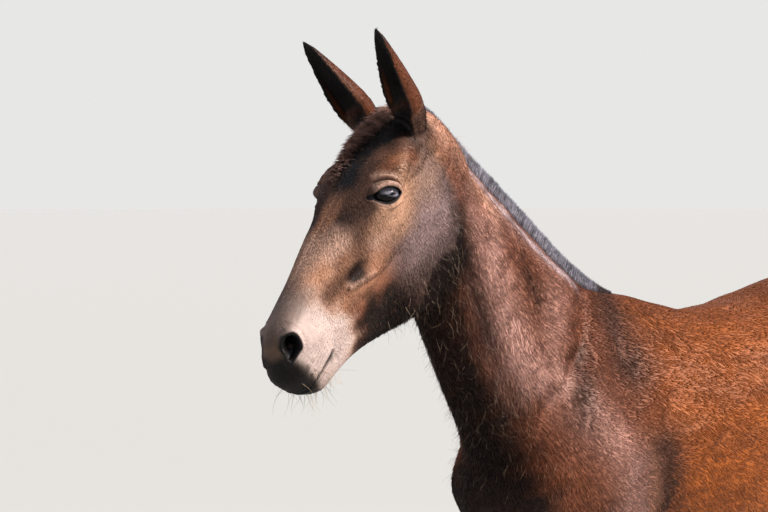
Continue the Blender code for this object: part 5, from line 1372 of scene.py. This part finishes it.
# The hooves are small, upright and dark, with fine rings of growth below a soft band at the coronet and
# scuffed toes.
HORN_DARK, HORN_PALE, CORONET = paint(62, 56, 52), paint(122, 112, 100), paint(46, 40, 36)
HOOF_GRAIN, HOOF_ROUNDS, RING_STEP, RING_DEPTH = 0.0024, 6, 0.0062, 0.00045
CORONET_SWELL = 0.0012
horn_material = streaked_material("ringed_horn", 160, 0.5, 0.48, 0.35)
for name in ("hoof_fore_left", "hoof_fore_right", "hoof_hind_left", "hoof_hind_right"):
    hoof = merged_copy(name, f"horn_{name}")
    close_over(hoof, HOOF_GRAIN)
    ease(hoof, HOOF_ROUNDS)
    apply_modifiers(hoof)
    points, normals = points_of(hoof.data), normals_of(hoof.data)
    low, high = points.min(axis=0), points.max(axis=0)
    toe = (points[:, 0] - low[0]) / (high[0] - low[0])
    top = low[2] + (0.45 + 0.5 * toe) * (high[2] - low[2])
    from_top = top - points[:, 2]
    wall = 1 - np.abs(normals[:, 2]) ** 2
    wobble = 0.0008 * drift(points, 0.03, 81)
    rings = np.sin((from_top + wobble) * 2 * math.pi / RING_STEP)
    lift = RING_DEPTH * rings * ramp(points[:, 2], 0.002, 0.006) + CORONET_SWELL * bell(from_top, 0.006)
    lift = wall * lift - RING_DEPTH - CORONET_SWELL
    move_points(hoof.data, points + normals * lift[:, None])
    pale = 0.30 + 0.25 * rings + 0.3 * drift(points, 0.012, 82) + 0.5 * ramp(points[:, 2], 0.020, 0.004)
    colours = mix(plain(HORN_DARK, len(points)), HORN_PALE, pale)
    wear_colours(hoof.data, mix(colours, CORONET, ramp(from_top, 0.010, 0.002)))
    bpy.ops.object.shade_smooth()
    finish_piece(hoof, horn_material, "horn", name)

# The studio: a plain pale floor, a broad soft sun from the upper right on the camera's side, one weak
# light like the sky from above and behind the neck, and pale surroundings.
KEY_STRENGTH, KEY_SOFTNESS, KEY_COLOUR = 6.2, math.radians(12), (1.0, 0.95, 0.88)
SKY_WATTS, SKY_SIZE, SKY_COLOUR = 50, 3.0, (0.86, 0.92, 1.0)
AMBIENT_STRENGTH, MIRRORED_SKY, PALE_WALL = 0.28, (0.70, 0.78, 0.95, 1), (0.80, 0.80, 0.79, 1)
FLOOR_COLOUR = (0.52, 0.515, 0.505, 1)
bpy.ops.mesh.primitive_plane_add(size=900, location=(0, 0, 0))
floor = bpy.context.object
floor.name = "studio_floor"
floor_material = bpy.data.materials.new("pale_floor")
floor_material.use_nodes = True
floor_surface = floor_material.node_tree.nodes["Principled BSDF"]
floor_surface.inputs["Base Color"].default_value = FLOOR_COLOUR
floor_surface.inputs["Roughness"].default_value = 0.85
floor.data.materials.append(floor_material)

key_way = camera_right * 0.78 + Vector((0, 0, 0.66)) + camera_back * 0.24
bpy.ops.object.light_add(type="SUN", location=near_eye + key_way * 4)
key = bpy.context.object
key.name = "key"
key.rotation_euler = key_way.to_track_quat("Z", "Y").to_euler()
key.data.energy = KEY_STRENGTH
key.data.angle = KEY_SOFTNESS
key.data.color = KEY_COLOUR

sky_place = near_eye + camera_right * 1.6 + Vector((0, 0, 3.6)) + camera_back * -1.6
sky_aim = near_eye + Vector((-0.35, -0.1, -0.25))
bpy.ops.object.light_add(type="AREA", location=sky_place)
sky = bpy.context.object
sky.name = "sky"
sky.rotation_euler = (sky_place - sky_aim).to_track_quat("Z", "Y").to_euler()
sky.data.size = SKY_SIZE
sky.data.energy = SKY_WATTS
sky.data.color = SKY_COLOUR

bpy.context.scene.world = bpy.data.worlds.new("studio")
bpy.context.scene.world.use_nodes = True
surroundings = bpy.context.scene.world.node_tree
ambient = surroundings.nodes["Background"]
ambient.inputs["Color"].default_value = (*SKY_COLOUR, 1)
ambient.inputs["Strength"].default_value = AMBIENT_STRENGTH
pale_wall = surroundings.nodes.new("ShaderNodeBackground")
pale_wall.inputs["Color"].default_value = PALE_WALL
mirrored_sky = surroundings.nodes.new("ShaderNodeBackground")
mirrored_sky.inputs["Color"].default_value = MIRRORED_SKY
seen_directly = surroundings.nodes.new("ShaderNodeLightPath")
lit_or_mirrored = surroundings.nodes.new("ShaderNodeMixShader")
either = surroundings.nodes.new("ShaderNodeMixShader")
surroundings.links.new(seen_directly.outputs["Is Glossy Ray"], lit_or_mirrored.inputs["Fac"])
surroundings.links.new(ambient.outputs["Background"], lit_or_mirrored.inputs[1])
surroundings.links.new(mirrored_sky.outputs["Background"], lit_or_mirrored.inputs[2])
surroundings.links.new(seen_directly.outputs["Is Camera Ray"], either.inputs["Fac"])
surroundings.links.new(lit_or_mirrored.outputs["Shader"], either.inputs[1])
surroundings.links.new(pale_wall.outputs["Background"], either.inputs[2])
surroundings.links.new(either.outputs["Shader"], surroundings.nodes["World Output"].inputs["Surface"])
bpy.context.scene.view_settings.view_transform = "Standard"
